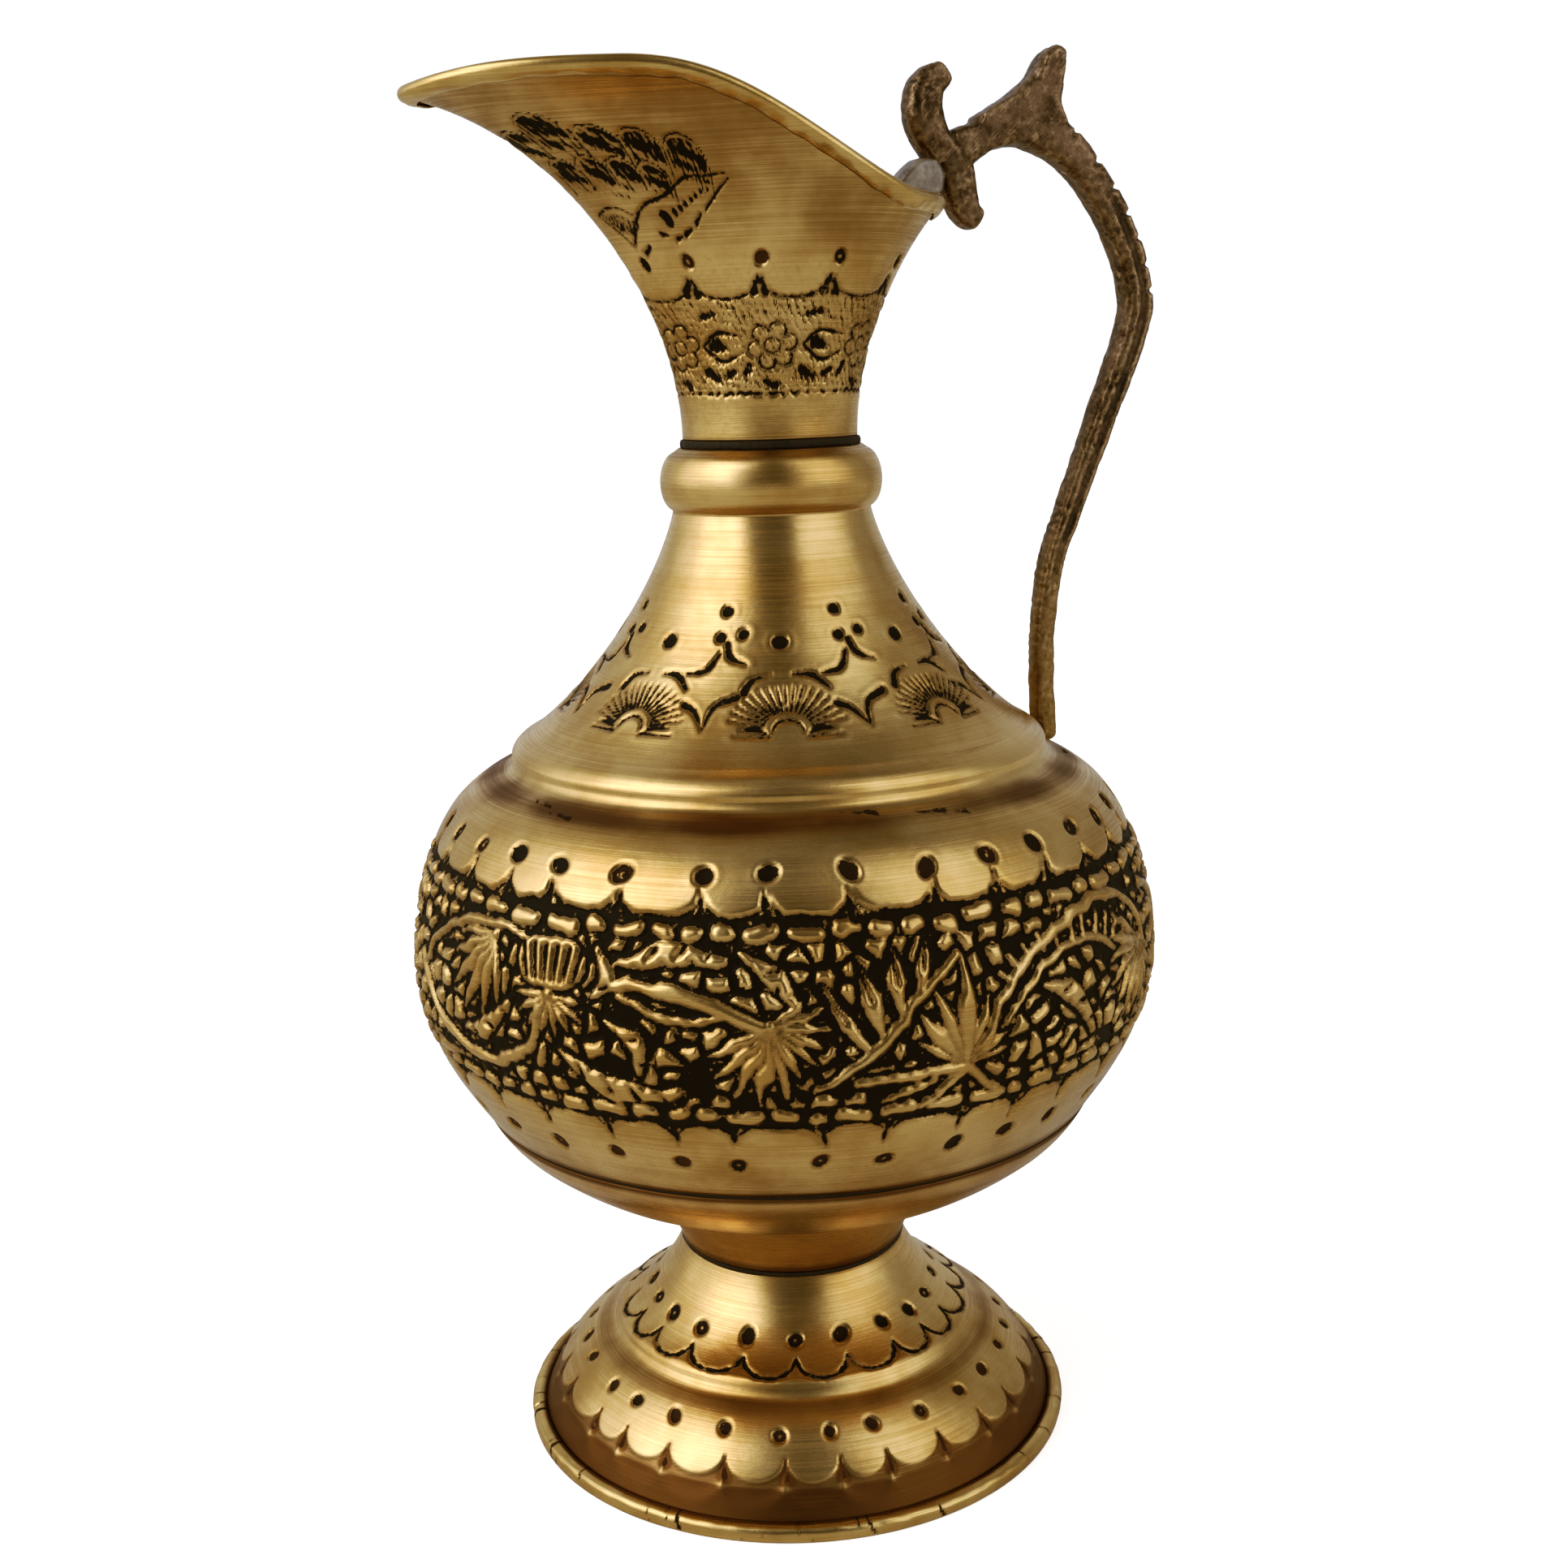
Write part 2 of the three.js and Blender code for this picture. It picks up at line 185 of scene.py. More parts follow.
def spun(name, outline, columns, material, relief):
    """A spun sheet from its outer outline, listed upwards, with the relief worked into its outside.

    relief(angle, s, z, r) returns the height to add, the ink field in millimetres (positive inside a
    blackened recess), the paint strength and the tarnish with painted shade, each over the whole grid.
    """
    theta = FRONT + 2 * math.pi * (np.arange(columns)[None, :] / columns - 100 / 360)
    s = arc_length(outline)
    normals = outline_normals(outline)
    r = outline[:, 0][:, None]
    z = outline[:, 1][:, None]
    blank = np.zeros((len(outline), columns))
    height, ink, paint, tarnish_and_shade = relief(theta, s[:, None], z, r)
    height = height + SPUN_WAVE * ripple(theta, s[:, None], len(name), 30) * np.minimum(1, r / 20)
    inner_rows = np.unique(np.r_[np.arange(0, len(outline), INNER_STEP), len(outline) - 1])[::-1]
    inner = outline[inner_rows] - normals[inner_rows] * SHEET
    inner[:, 1] = np.clip(inner[:, 1], outline[0, 1], outline[-1, 1])
    rr = np.concatenate([r + normals[:, :1] * height, np.repeat(inner[:, :1], columns, 1)])
    zz = np.concatenate([z + normals[:, 1:] * height, np.repeat(inner[:, 1:], columns, 1)])
    ss = np.concatenate([s, s[inner_rows]])[:, None] + 0 * theta
    vertices = np.stack([AXIS_X + rr * np.cos(theta), rr * np.sin(theta), zz], -1).reshape(-1, 3)
    pad = np.zeros((len(inner), columns))
    fields = {
        "ink": np.concatenate([ink + blank, pad - 9]).ravel(),
        "paint": np.concatenate([paint + blank, pad]).ravel(),
        "tarnish_and_shade": np.concatenate([tarnish_and_shade + blank, pad + 0.6]).ravel(),
        "lay": np.stack([np.cos(theta) * rr, np.sin(theta) * rr, ss], -1).reshape(-1, 3),
    }
    faces = grid_faces(len(rr), columns, closed_rows=True)
    return make_piece(name, vertices, faces, material, fields)


# ---- Motifs ---------------------------------------------------------------------------------------


class Strokes:
    """Tapered strokes on a flat strip: x runs round the pot and y up it, both in millimetres."""

    def __init__(self, scale=(1.0, 1.0), lift=None):
        self.segments = []
        self.scale = scale
        self.lift = lift or (lambda y: y)

    def place(self, point):
        return np.array([point[0] * self.scale[0], self.lift(point[1]) * self.scale[1]])

    def line(self, points, widths):
        """A stroke through (x, y) points in the strip's own units; widths are half widths."""
        widths = np.broadcast_to(np.asarray(widths, float), (len(points),)) if np.ndim(widths) == 0 else widths
        placed = [self.place(point) for point in points]
        for a, b, wa, wb in zip(placed, placed[1:], widths, widths[1:]):
            self.segments.append((*a, wa, *b, wb))

    def curve(self, points, widths, count=9):
        """A smooth stroke through (x, y) points."""
        placed = np.array([self.place(point) for point in points])
        at = np.linspace(0, len(placed) - 1, count)
        knots = np.arange(len(placed))
        soft = np.stack([spline(knots, placed[:, k], at) for k in (0, 1)], -1)
        wide = np.interp(at, np.linspace(0, len(placed) - 1, len(widths)), widths)
        for a, b, wa, wb in zip(soft, soft[1:], wide, wide[1:]):
            self.segments.append((*a, wa, *b, wb))

    def blade(self, base, angle, start, end, width):
        """A leaf blade that swells and comes to a point, from a base point at an angle in degrees."""
        base = self.place(base)
        way = np.array([math.cos(math.radians(angle)), math.sin(math.radians(angle))])
        stops = [start, start + 0.55 * (end - start), end]
        widths = [0.25 * width, width, 0.15 * width]
        for a, b, wa, wb in zip(stops, stops[1:], widths, widths[1:]):
            self.segments.append((*(base + way * a), wa, *(base + way * b), wb))

    def fan(self, base, angles, start, end, width, count):
        """Blades from a base point, spread evenly between two angles."""
        for angle in np.linspace(*angles, count):
            self.blade(base, angle, start, end, width)

    def arc(self, centre, radius, angles, widths, count=8):
        """A stroke along a circle between two angles in degrees."""
        centre = self.place(centre)
        turns = np.radians(np.linspace(*angles, count))
        points = centre + radius * np.stack([np.cos(turns), np.sin(turns)], -1)
        wide = np.interp(np.linspace(0, 1, count), np.linspace(0, 1, len(widths)), widths)
        for a, b, wa, wb in zip(points, points[1:], wide, wide[1:]):
            self.segments.append((*a, wa, *b, wb))

    def block(self, centre, size, angle, stretch=1.0):
        """A small four-cornered block with soft corners."""
        x, y = self.place(centre)
        way = np.array([math.cos(math.radians(angle)), math.sin(math.radians(angle))]) * size * stretch * 0.4
        self.segments.append((x - way[0], y - way[1], 0.55 * size, x + way[0], y + way[1], 0.55 * size))

    def field(self, x, y, empty=-9.0):
        """How deep each grid point lies inside the nearest stroke, in millimetres."""
        x, y = np.broadcast_arrays(x, y)
        out = np.full(x.shape, empty)
        for ax, ay, aw, bx, by, bw in self.segments:
            reach = max(aw, bw) + 2.5
            near = ((x > min(ax, bx) - reach) & (x < max(ax, bx) + reach)
                    & (y > min(ay, by) - reach) & (y < max(ay, by) + reach))
            px = x[near] - ax
            py = y[near] - ay
            dx, dy = bx - ax, by - ay
            t = np.clip((px * dx + py * dy) / (dx * dx + dy * dy + 1e-9), 0, 1)
            out[near] = np.maximum(out[near], aw + (bw - aw) * t - np.hypot(px - dx * t, py - dy * t))
        return out


def spline(knots, values, at):
    """A Catmull-Rom curve through evenly spaced values."""
    padded = np.r_[2 * values[0] - values[1], values, 2 * values[-1] - values[-2]]
    k = np.clip(np.floor(at).astype(int), 0, len(knots) - 2)
    t = at - k
    p0, p1, p2, p3 = (padded[k + i] for i in range(4))
    return 0.5 * (2 * p1 + (p2 - p0) * t + (2 * p0 - 5 * p1 + 4 * p2 - p3) * t ** 2
                  + (3 * p1 - p0 - 3 * p2 + p3) * t ** 3)


def around(theta):
    """Degrees from the front, growing to the right, between -100 and 260."""
    return (np.degrees(theta - FRONT) + 100) % 360 - 100


def dots(theta, s, r, places, seed):
    """Round punch marks: places lists (degrees from the front, arc length, radius, blackness). Some
    keep a bright bump at the middle."""
    degrees = around(theta)
    ink = np.full(np.broadcast(degrees, s).shape, -9.0)
    paint = np.zeros_like(ink)
    rng = np.random.default_rng(seed)
    for angle, height, radius, black in places:
        across = ((degrees - angle + 180) % 360 - 180) * math.pi / 180 * r
        lean, stretch, bump = rng.uniform(-0.25, 0.25), rng.uniform(0.9, 1.12), rng.random() < 0.45
        distance = np.hypot((across + lean * (s - height)) * stretch, (s - height) / stretch)
        depth = np.minimum(radius - distance, distance - 0.3) if bump else radius - distance
        paint = np.where(depth > np.maximum(ink, -1.2), black, paint)
        ink = np.maximum(ink, depth)
    return ink, paint


def punched(ink, depth, soft=0.45, lip=0.1):
    """The sheet's height over a recess: sunk inside, with a low raised lip round it."""
    sunk = -depth * smooth(ink, -soft, soft)
    return sunk + lip * np.exp(-((ink + 0.9) / 0.6) ** 2)


def blank_fields(theta, s):
    """An empty height, ink, paint and tarnish for a relief to add to."""
    empty = np.zeros(np.broadcast(theta, s).shape)
    return empty.copy(), empty - 9.0, empty.copy(), empty.copy()


def spaced(seen, count, rng, wander=1.2):
    """Angles all the way round: the given run, then evenly spaced ones with a little wander."""
    gap = 360 - (seen[-1] - seen[0])
    others = count - len(seen)
    rest = seen[-1] + gap * (np.arange(others) + 1) / (others + 1)
    rest = rest + rng.uniform(-wander, wander, others)
    return [*seen, *[(angle + 100) % 360 - 100 for angle in rest]]


def scallops(strokes, angles, low, high, width, sign=1):
    """A line of U-shaped lobes whose cusps stand at the given angles; sign -1 turns them over."""
    order = sorted(angles)
    for start, end in zip(order, [*order[1:], order[0] + 360]):
        turns = np.linspace(-1, 1, 13)
        heights = low + sign * (high - low) * (1 - np.sqrt(1 - turns ** 2 * 0.995))
        middle = (start + end) / 2
        strokes.line([(middle + (end - start) / 2 * t, y) for t, y in zip(turns, heights)], width)


# ---- The belly's pattern --------------------------------------------------------------------------


def leaf(art, cut, start, middle, end, half, veins):
    """A leaf body with wedge-shaped veins cut in from both sides: points in degrees and millimetres."""
    art.curve([start, middle, end], [0.35, half, 0.3 * half], 10)
    a, b, c = (art.place(point) for point in (start, middle, end))
    for k in range(veins):
        t = 0.18 + 0.66 * k / max(1, veins - 1)
        spot = (1 - t) ** 2 * a + 2 * (1 - t) * t * b + t * t * c
        way = 2 * (1 - t) * (b - a) + 2 * t * (c - b)
        lean = math.atan2(way[1], way[0]) + math.radians(48 if k % 2 else -48)
        out = np.array([math.cos(lean), math.sin(lean)])
        reach = half * (1.25 - 0.6 * abs(t - 0.45))
        cut.segments.append((*(spot + out * 0.45), 0.12, *(spot + out * reach), 0.42))


def fan_leaf(art, centre, angles, reaches, fill=0.62):
    """Blades spread from a hub, as wide as the gaps between them allow."""
    art.line([centre, (centre[0] + 0.1, centre[1])], 1.0)
    turns = np.linspace(*angles, len(reaches))
    spread = math.radians(abs(angles[1] - angles[0])) / max(1, len(reaches) - 1)
    for angle, reach in zip(turns, reaches):
        art.blade(centre, angle, 0.8, reach, max(0.55, min(1.5, 0.5 * spread * reach * fill * 0.86)))


def belly_vine(art, cut, turn):
    """The raised work on one half of the belly, from its left edge to its right."""

    def at(*points):
        return [(angle + turn, height) for angle, height in points]

    # The fan and the broad vine at the left.
    fan_leaf(art, *at((-45, 115.4)), (186, 278), (11, 14, 16.5, 17, 15, 11.5))
    art.curve(at((-68, 106), (-63, 99.5), (-57, 95.2), (-48, 92.6), (-40, 95.2), (-36, 100.5), (-36, 105.5)),
              [0.9, 1.3, 1.1, 0.7], 24)
    art.curve(at((-37, 115.6), (-44, 117), (-53, 116), (-61, 111.5), (-66, 105)), [0.6, 0.9, 0.7], 16)
    leaf(art, cut, *at((-52, 97), (-46.5, 98.5), (-41.5, 104.5)), 1.9, 5)
    leaf(art, cut, *at((-66, 92), (-62, 90), (-55, 90.6)), 1.3, 3)
    # The shell with its slits, and the petals under it.
    art.line(at((-36.5, 112.6), (-31.6, 112.9)), 4.3)
    for k in range(6):
        x = -38.2 + 1.72 * k
        cut.line(at((x + 0.35 * (k - 2.5), 115.4), (x - 0.1 * (k - 2.5), 110)), [0.5, 0.3])
    fan_leaf(art, *at((-33.8, 107.6)), (188, 352), (7.2, 7.6, 7.4, 7, 7, 7.4, 7.6, 7.2), 0.6)
    leaf(art, cut, *at((-26.6, 108.4), (-24.6, 111.5), (-26.4, 116)), 1.6, 3)
    # The almond leaf, the thick stem and the leaves under it.
    leaf(art, cut, *at((-23.6, 113.4), (-16, 116.2), (-8, 115.4)), 2.3, 6)
    art.curve(at((-25, 110.4), (-18, 110.6), (-11, 108.6), (-3, 104.6)), [0.8, 1.45, 1.2], 12)
    art.curve(at((-23, 109), (-17, 106.2), (-11.5, 105.4), (-8, 106.4)), [0.5, 0.65, 0.5], 10)
    leaf(art, cut, *at((-32, 98.6), (-24, 92.6), (-14.5, 92.8)), 2.5, 7)
    leaf(art, cut, *at((-24.5, 104.5), (-20.4, 101.6), (-19.6, 96.4)), 1.5, 4)
    # The star leaf at the middle.
    centre = at((-2, 104.8))[0]
    fan_leaf(art, centre, (206, 318), (11.5, 12.6, 13.6, 14, 12.4, 10.4, 9.6))
    fan_leaf(art, centre, (336, 400), (9.4, 9.6, 9, 7.6))
    leaf(art, cut, *at((-6, 116.5), (-1.5, 113), (1.6, 108.4)), 1.9, 4)
    # The band that climbs to the right, with broad upright blades on it.
    art.curve(at((4, 93.6), (8, 96.6), (12.5, 100.6), (18.5, 108.6), (24, 114)), [0.5, 1.1, 0.7], 14)
    for start, end, half in (((11, 99.4), (4.8, 110.8), 1.35), ((13, 102), (9.6, 114.4), 1.6),
                             ((15.4, 105), (14.6, 116), 1.55), ((18, 108.4), (19.4, 116.4), 1.2)):
        middle = ((start[0] + end[0]) / 2, (start[1] + end[1]) / 2)
        art.line(at(start, middle, end), [0.4, half, 0.3])
        cut.line(at(middle, end), [0.12, 0.34])
    # The fan right of the middle, with crossed arms under it.
    centre = at((24.5, 95.4))[0]
    art.curve(at((24.5, 95.4), (24.8, 103), (24.6, 114)), [0.7, 1.75, 0.3], 8)
    for angle, reach, half in ((112, 14.5, 1.25), (130, 12, 1.2), (150, 10, 1.1), (66, 12, 1.1), (46, 10, 0.95),
                               (28, 9, 0.85), (10, 8.6, 0.7)):
        art.blade(centre, angle, 1.4, reach, half)
    for end in ((18.6, 88.6), (31, 88.4), (9.5, 94.4)):
        art.line(at((24.5, 95), end), [1.1, 0.75])
    leaf(art, cut, *at((13, 90.6), (16.5, 92), (20, 93.4)), 1.1, 2)
    # The double arch with ticks between its lines.
    art.curve(at((27.4, 98), (30, 104.6), (35, 110.6), (42, 114.6), (49, 116.5), (55, 116.8), (61, 114.4),
                 (65, 110), (66, 105)), [0.9, 1.15, 0.8], 26)
    art.curve(at((31.4, 101.5), (34.4, 105.6), (38.5, 109), (45, 111.4), (51, 110.6), (55, 107)),
              [0.6, 0.8, 0.6], 16)
    for share in np.linspace(0.04, 0.96, 11):
        turn_at = math.pi * (0.14 + 0.72 * share)
        foot = (44.5 - 14.5 * math.cos(turn_at), 103.6 + 8.6 * math.sin(turn_at))
        tip = (44.5 - 16.6 * math.cos(turn_at), 104.2 + 11.2 * math.sin(turn_at))
        art.line(at(foot, tip), 0.45)
    leaf(art, cut, *at((37.6, 105.6), (43.6, 103), (48.5, 94.4)), 2.2, 6)
    # The fan at the right edge and what follows it round the side.
    fan_leaf(art, *at((64, 106)), (146, 332), (12.5, 13, 13.4, 13.8, 14.6, 14.4, 13.8, 13, 12, 10.6, 9.6), 0.58)
    art.curve(at((70, 114.5), (77, 111.5), (82, 105), (84, 97), (90, 92.6)), [0.9, 1.2, 0.9], 18)
    leaf(art, cut, *at((73, 93.6), (79, 97), (79.6, 107)), 2.2, 6)
    fan_leaf(art, *at((92, 115.4)), (206, 334), (9, 11, 12.5, 13, 12.5, 11, 9))
    leaf(art, cut, *at((88, 98), (95, 101.5), (103, 98.4)), 2.3, 6)
    leaf(art, cut, *at((100, 112), (106, 116), (112, 112.4)), 2.0, 5)
    art.curve(at((98, 93), (104, 92.4), (109, 95.4), (113, 101)), [0.7, 1.0, 0.6], 12)


def tiles(x, y, period, size, rng):
    """Small crooked tiles that fill the gaps: positive inside a tile, negative in the channels."""
    count = round(period / size)
    width = period / count
    rows = int(np.ptp(y) / size) + 4
    jitter = rng.uniform(0.1, 0.9, (count, rows, 2))
    shrink = rng.uniform(0.5, 1.05, (count, rows)) + 9 * (rng.random((count, rows)) < 0.12)
    i = np.floor(x / width).astype(int)
    j = np.clip(np.floor((y - y.min()) / size).astype(int) + 1, 1, rows - 2)
    near = np.full((2,) + np.broadcast(x, y).shape, 1e9)
    seeds = np.zeros((2, 2) + near.shape[1:])
    edge = np.zeros(near.shape[1:])
    for di in (-2, -1, 0, 1, 2):
        for dj in (-1, 0, 1):
            column, row = (i + di) % count, j + dj
            sx = (i + di + jitter[column, row, 0]) * width
            sy = y.min() + (row - 1 + jitter[column, row, 1]) * size
            far = (x - sx) ** 2 + (y - sy) ** 2
            first = far < near[0]
            second = ~first & (far < near[1])
            near[1] = np.where(first, near[0], np.where(second, far, near[1]))
            here = np.stack([sx + 0 * far, sy + 0 * far])
            seeds[1] = np.where(first, seeds[0], np.where(second, here, seeds[1]))
            near[0] = np.where(first, far, near[0])
            seeds[0] = np.where(first, here, seeds[0])
            edge = np.where(first, shrink[column, row], edge)
    apart = np.hypot(*(seeds[0] - seeds[1]))
    return (near[1] - near[0]) / (2 * apart + 1e-6) - edge


def belly_relief(theta, s, z, outline):
    """Dots, scallops, brick borders and the vine band."""
    height, ink, paint, tarnish_and_shade = blank_fields(theta, s)
    rng = np.random.default_rng(11)
    degrees = around(theta)
    per_degree = math.pi / 180 * (BELLY_RADIUS - 0.6)
    x = degrees * per_degree

    def lift(level):
        return np.interp(level, outline[:, 1], arc_length(outline))

    rows = (z[:, 0] > 74) & (z[:, 0] < 131)
    y = s[rows]
    upper = spaced([-67, -56, -45.5, -36, -24.5, -11.5, -2, 10, 22, 33, 43, 54, 64], 34, rng)
    lower = spaced([-59, -48.5, -37.5, -26.5, -16, -7.5, 4.5, 14, 25, 34.5, 44.5, 56], 34, rng)
    art, cut = Strokes((per_degree, 1), lift), Strokes((per_degree, 1), lift)
    belly_vine(art, cut, 0)
    belly_vine(art, cut, 180)
    wobble_x = x + 0.45 * ripple(theta, y, 13, 6)
    wobble_y = y + 0.45 * ripple(theta, y, 14, 6)
    solid = art.field(wobble_x, wobble_y)
    work = np.minimum(solid, -cut.field(x, y))
    fill = np.minimum(tiles(wobble_x, wobble_y, 360 * per_degree, 4.3, rng), -solid - 0.95)
    inside = np.minimum(y - lift(90.9), lift(117.6) - y)
    fill = np.minimum(fill, inside + 0.3)
    bricks = Strokes((per_degree, 1), lift)
    for level, tall in ((119.6, 1.35), (88.6, 1.25)):
        edges = np.cumsum(rng.uniform(3.6, 7.0, 90)) - 110
        for start, end in zip(edges, edges[1:]):
            middle = level + rng.uniform(-0.35, 0.35)
            sizes = tall * rng.uniform(0.75, 1.15, 2)
            half = max(sizes) / per_degree + 0.45
            if end - start > 2 * half:
                bricks.line([(start + half, middle), (end - half, middle + rng.uniform(-0.5, 0.5))], sizes)
    raised = np.maximum.reduce([work, fill, bricks.field(x, wobble_y)])
    band = np.minimum(y - lift(86.2), lift(122.3) - y) + 0.45 * ripple(theta, y, 5, 7)
    chipped = 0.16 * ripple(theta, y, 15, 2.6)
    black = np.minimum(band, -raised) + chipped
    lines = Strokes((per_degree, 1), lift)
    for angle in upper:
        lean = rng.uniform(-0.5, 0.5)
        lines.line([(angle, 121.4), (angle + lean, 123.2 + rng.uniform(0, 0.8)), (angle + 2 * lean, 125.8)],
                   [1.0, 0.62, 0.12])
        for side in (-1, 1):
            lines.line([(angle + side * rng.uniform(1.9, 2.5), 121.8), (angle + side * 0.6, 123.6)], [0.7, 0.2])
    for angle in lower:
        lean = rng.uniform(-0.4, 0.4)
        lines.line([(angle, 86.6), (angle + lean, 84.8), (angle + 2 * lean, 82.4)], [0.9, 0.5, 0.15])
        for side in (-1, 1):
            lines.line([(angle + side * rng.uniform(1.5, 2.1), 86.4), (angle + side * 0.5, 84.8)], [0.6, 0.2])
    line = lines.field(x, y) + 0.22 * ripple(theta, y, 16, 2.6)
    lobes = Strokes((per_degree, 1), lift)
    scallops(lobes, upper, 121.9, 125.2, 0.5)
    scallops(lobes, lower, 86.2, 82.6, 0.5)
    lobe = lobes.field(x, y)
    r = outline[rows, 0][:, None]
    marks = [(angle, float(lift(128.1 + rng.uniform(-0.5, 0.4))), rng.uniform(1.45, 1.85), rng.uniform(0.75, 1))
             for angle in upper]
    marks += [(angle, float(lift(78.6 + rng.uniform(-0.5, 0.5))), rng.uniform(1.3, 1.65),
               0.45 if -60 < angle < -10 else rng.uniform(0.7, 1)) for angle in lower]
    spot, spot_paint = dots(theta, y, r, marks, 12)
    field = np.maximum.reduce([black, line, spot])
    height[rows] += -0.62 * smooth(np.maximum(black, line), -0.55, 0.45)
    height[rows] += 0.3 * smooth(raised, -0.1, 1.1) * smooth(band, 0, 1) - 0.22 * smooth(lobe, -0.6, 0.3)
    height[rows] += punched(spot, 0.6, 0.65, 0.03)
    ink[rows] = field
    paint[rows] = np.where(spot > np.maximum(black, line), spot_paint, 1.0)
    tarnish_and_shade[rows] += 0.35 * smooth(lobe, -0.7, 0.2)
    return height, ink, paint, tarnish_and_shade


# ---- The cone's pattern ---------------------------------------------------------------------------


def cone_sunflower(art):
    """Half a sunflower on the cone's edge, two crescents above it and a dot."""
    art.arc((0, 0), 2.7, (4, 176), [0.2, 0.34, 0.2], 14)
    for angle in np.linspace(14, 166, 17):
        way = np.array([math.cos(math.radians(angle)), math.sin(math.radians(angle))])
        art.line([way * 4.6, way * (9.2 + 1.6 * abs(angle - 90) / 90)], [0.34, 0.12])
    for side in (-1, 1):
        art.line([(side * 3.8, -0.2), (side * 5.6, 0.9), (side * 8.4, 0.6)], [0.2, 0.75, 0.2])
        art.line([(side * 3.4, -0.9), (side * 9.6, -0.8)], [0.3, 0.12])
    art.curve([(-7.3, 8.3), (-5.6, 10.9), (-2.2, 11.8)], [0.75, 0.5, 0.12], 8)
    art.curve([(1.5, 11.9), (4.8, 11.7), (7.9, 9.0)], [0.2, 0.62, 0.3], 8)
    art.line([(-0.4, 18.3), (-0.2, 18.4)], 1.4)


def cone_sprig(art):
    """A split leaf, two crescents and three dots between the sunflowers."""
    art.curve([(-5.9, 5.6), (-3.6, 4.3), (-1.3, 0.6)], [0.75, 0.5, 0.15], 8)
    art.curve([(-1.3, 0.6), (-0.2, 5.4), (3.5, 7.4)], [0.2, 0.5, 0.8], 8)
    art.curve([(-7.0, 11.9), (-3.2, 12.8), (-1.3, 16.2)], [0.18, 0.62, 0.3], 8)
    art.curve([(-0.2, 18.2), (0.8, 15.4), (4.0, 14.0)], [0.6, 0.62, 0.15], 8)
    art.line([(-1.5, 24.4), (-1.3, 24.4)], 1.05)
    art.line([(-1.8, 19.3), (-1.7, 19.4)], 1.05)
    art.line([(2.3, 20.0), (2.4, 20.0)], 1.0)


def cone_relief(theta, s, z, outline):
    height, ink, paint, tarnish_and_shade = blank_fields(theta, s)
    rng = np.random.default_rng(21)
    rows = (z[:, 0] > 143) & (z[:, 0] < 174)
    degrees = around(theta)
    r = outline[rows, 0][:, None]
    y = s[rows]
    base = np.interp(147.3, outline[:, 1], arc_length(outline))
    flower, sprig = Strokes(), Strokes()
    cone_sunflower(flower)
    cone_sprig(sprig)
    field = np.full(np.broadcast(degrees, y).shape, -9.0)
    for repeat in range(8):
        middle = 2 + 45 * repeat + (3.0 if repeat == 7 else rng.uniform(-1, 1))
        for motif, turn in ((flower, 0), (sprig, 22.8)):
            apart = (degrees - middle - turn + 180) % 360 - 180
            near = np.abs(apart[0]) < 24
            lean = rng.uniform(-0.04, 0.04)
            up = y - base - rng.uniform(-0.3, 0.3)
            across = apart[:, near] * math.pi / 180 * r + lean * up
            field[:, near] = np.maximum(field[:, near], motif.field(across, up))
    field += 0.06 * ripple(theta, y, 22, 3)
    height[rows] = punched(field, 0.35, 0.35, 0.04)
    ink[rows] = field
    paint[rows] = 1.0
    return height, ink, paint, tarnish_and_shade


def body_relief(theta, s, z, r):
    outline = np.concatenate([r, z], 1)
    belly = belly_relief(theta, s, z, outline)
    cone = cone_relief(theta, s, z, outline)
    height, ink, paint, tarnish_and_shade = (np.where(z > 135, c, b) for b, c in zip(belly, cone))
    # Dirt and a painted dark reflection in the cove under the shoulder's bead, and smudges along the ridge.
    cove_dirt_and_shade = np.exp(-((z - 134.4) / 1.7) ** 2) * (0.85 + 0.25 * ripple(theta, s * 0, 32, 20))
    tarnish_and_shade = tarnish_and_shade + cove_dirt_and_shade + 0.5 * smooth(z, 191.6, 193.4) + 0.35 * np.exp(-((z - 183.2) / 1.2) ** 2)
    tarnish_and_shade = tarnish_and_shade + 0.28 * smooth(z, 84, 74) + 0.6 * np.exp(-((z - 70.6) / 0.8) ** 2)
    smudges = Strokes((math.pi / 180 * 55, 1))
    for angle, level in ((-50, 134.9), (-43, 134.0), (14, 135.4), (27, 134.7), (31, 134.2), (88, 134.6),
                         (121, 134.2), (160, 134.8), (214, 134.4), (244, 135)):
        smudges.line([(angle - 3.5, level), (angle + 3.5, level - 0.25)], [0.1, 0.42])
    smudge = smudges.field(around(theta) * math.pi / 180 * 55, z) + 0.22 * ripple(theta, s, 31, 3)
    ink = np.where((z > 132.4) & (z < 136.4), smudge - 0.12, ink)
    paint = np.where((z > 132.4) & (z < 136.4), 0.85, paint)
    return height, ink, paint, tarnish_and_shade


# ---- The foot's pattern ---------------------------------------------------------------------------


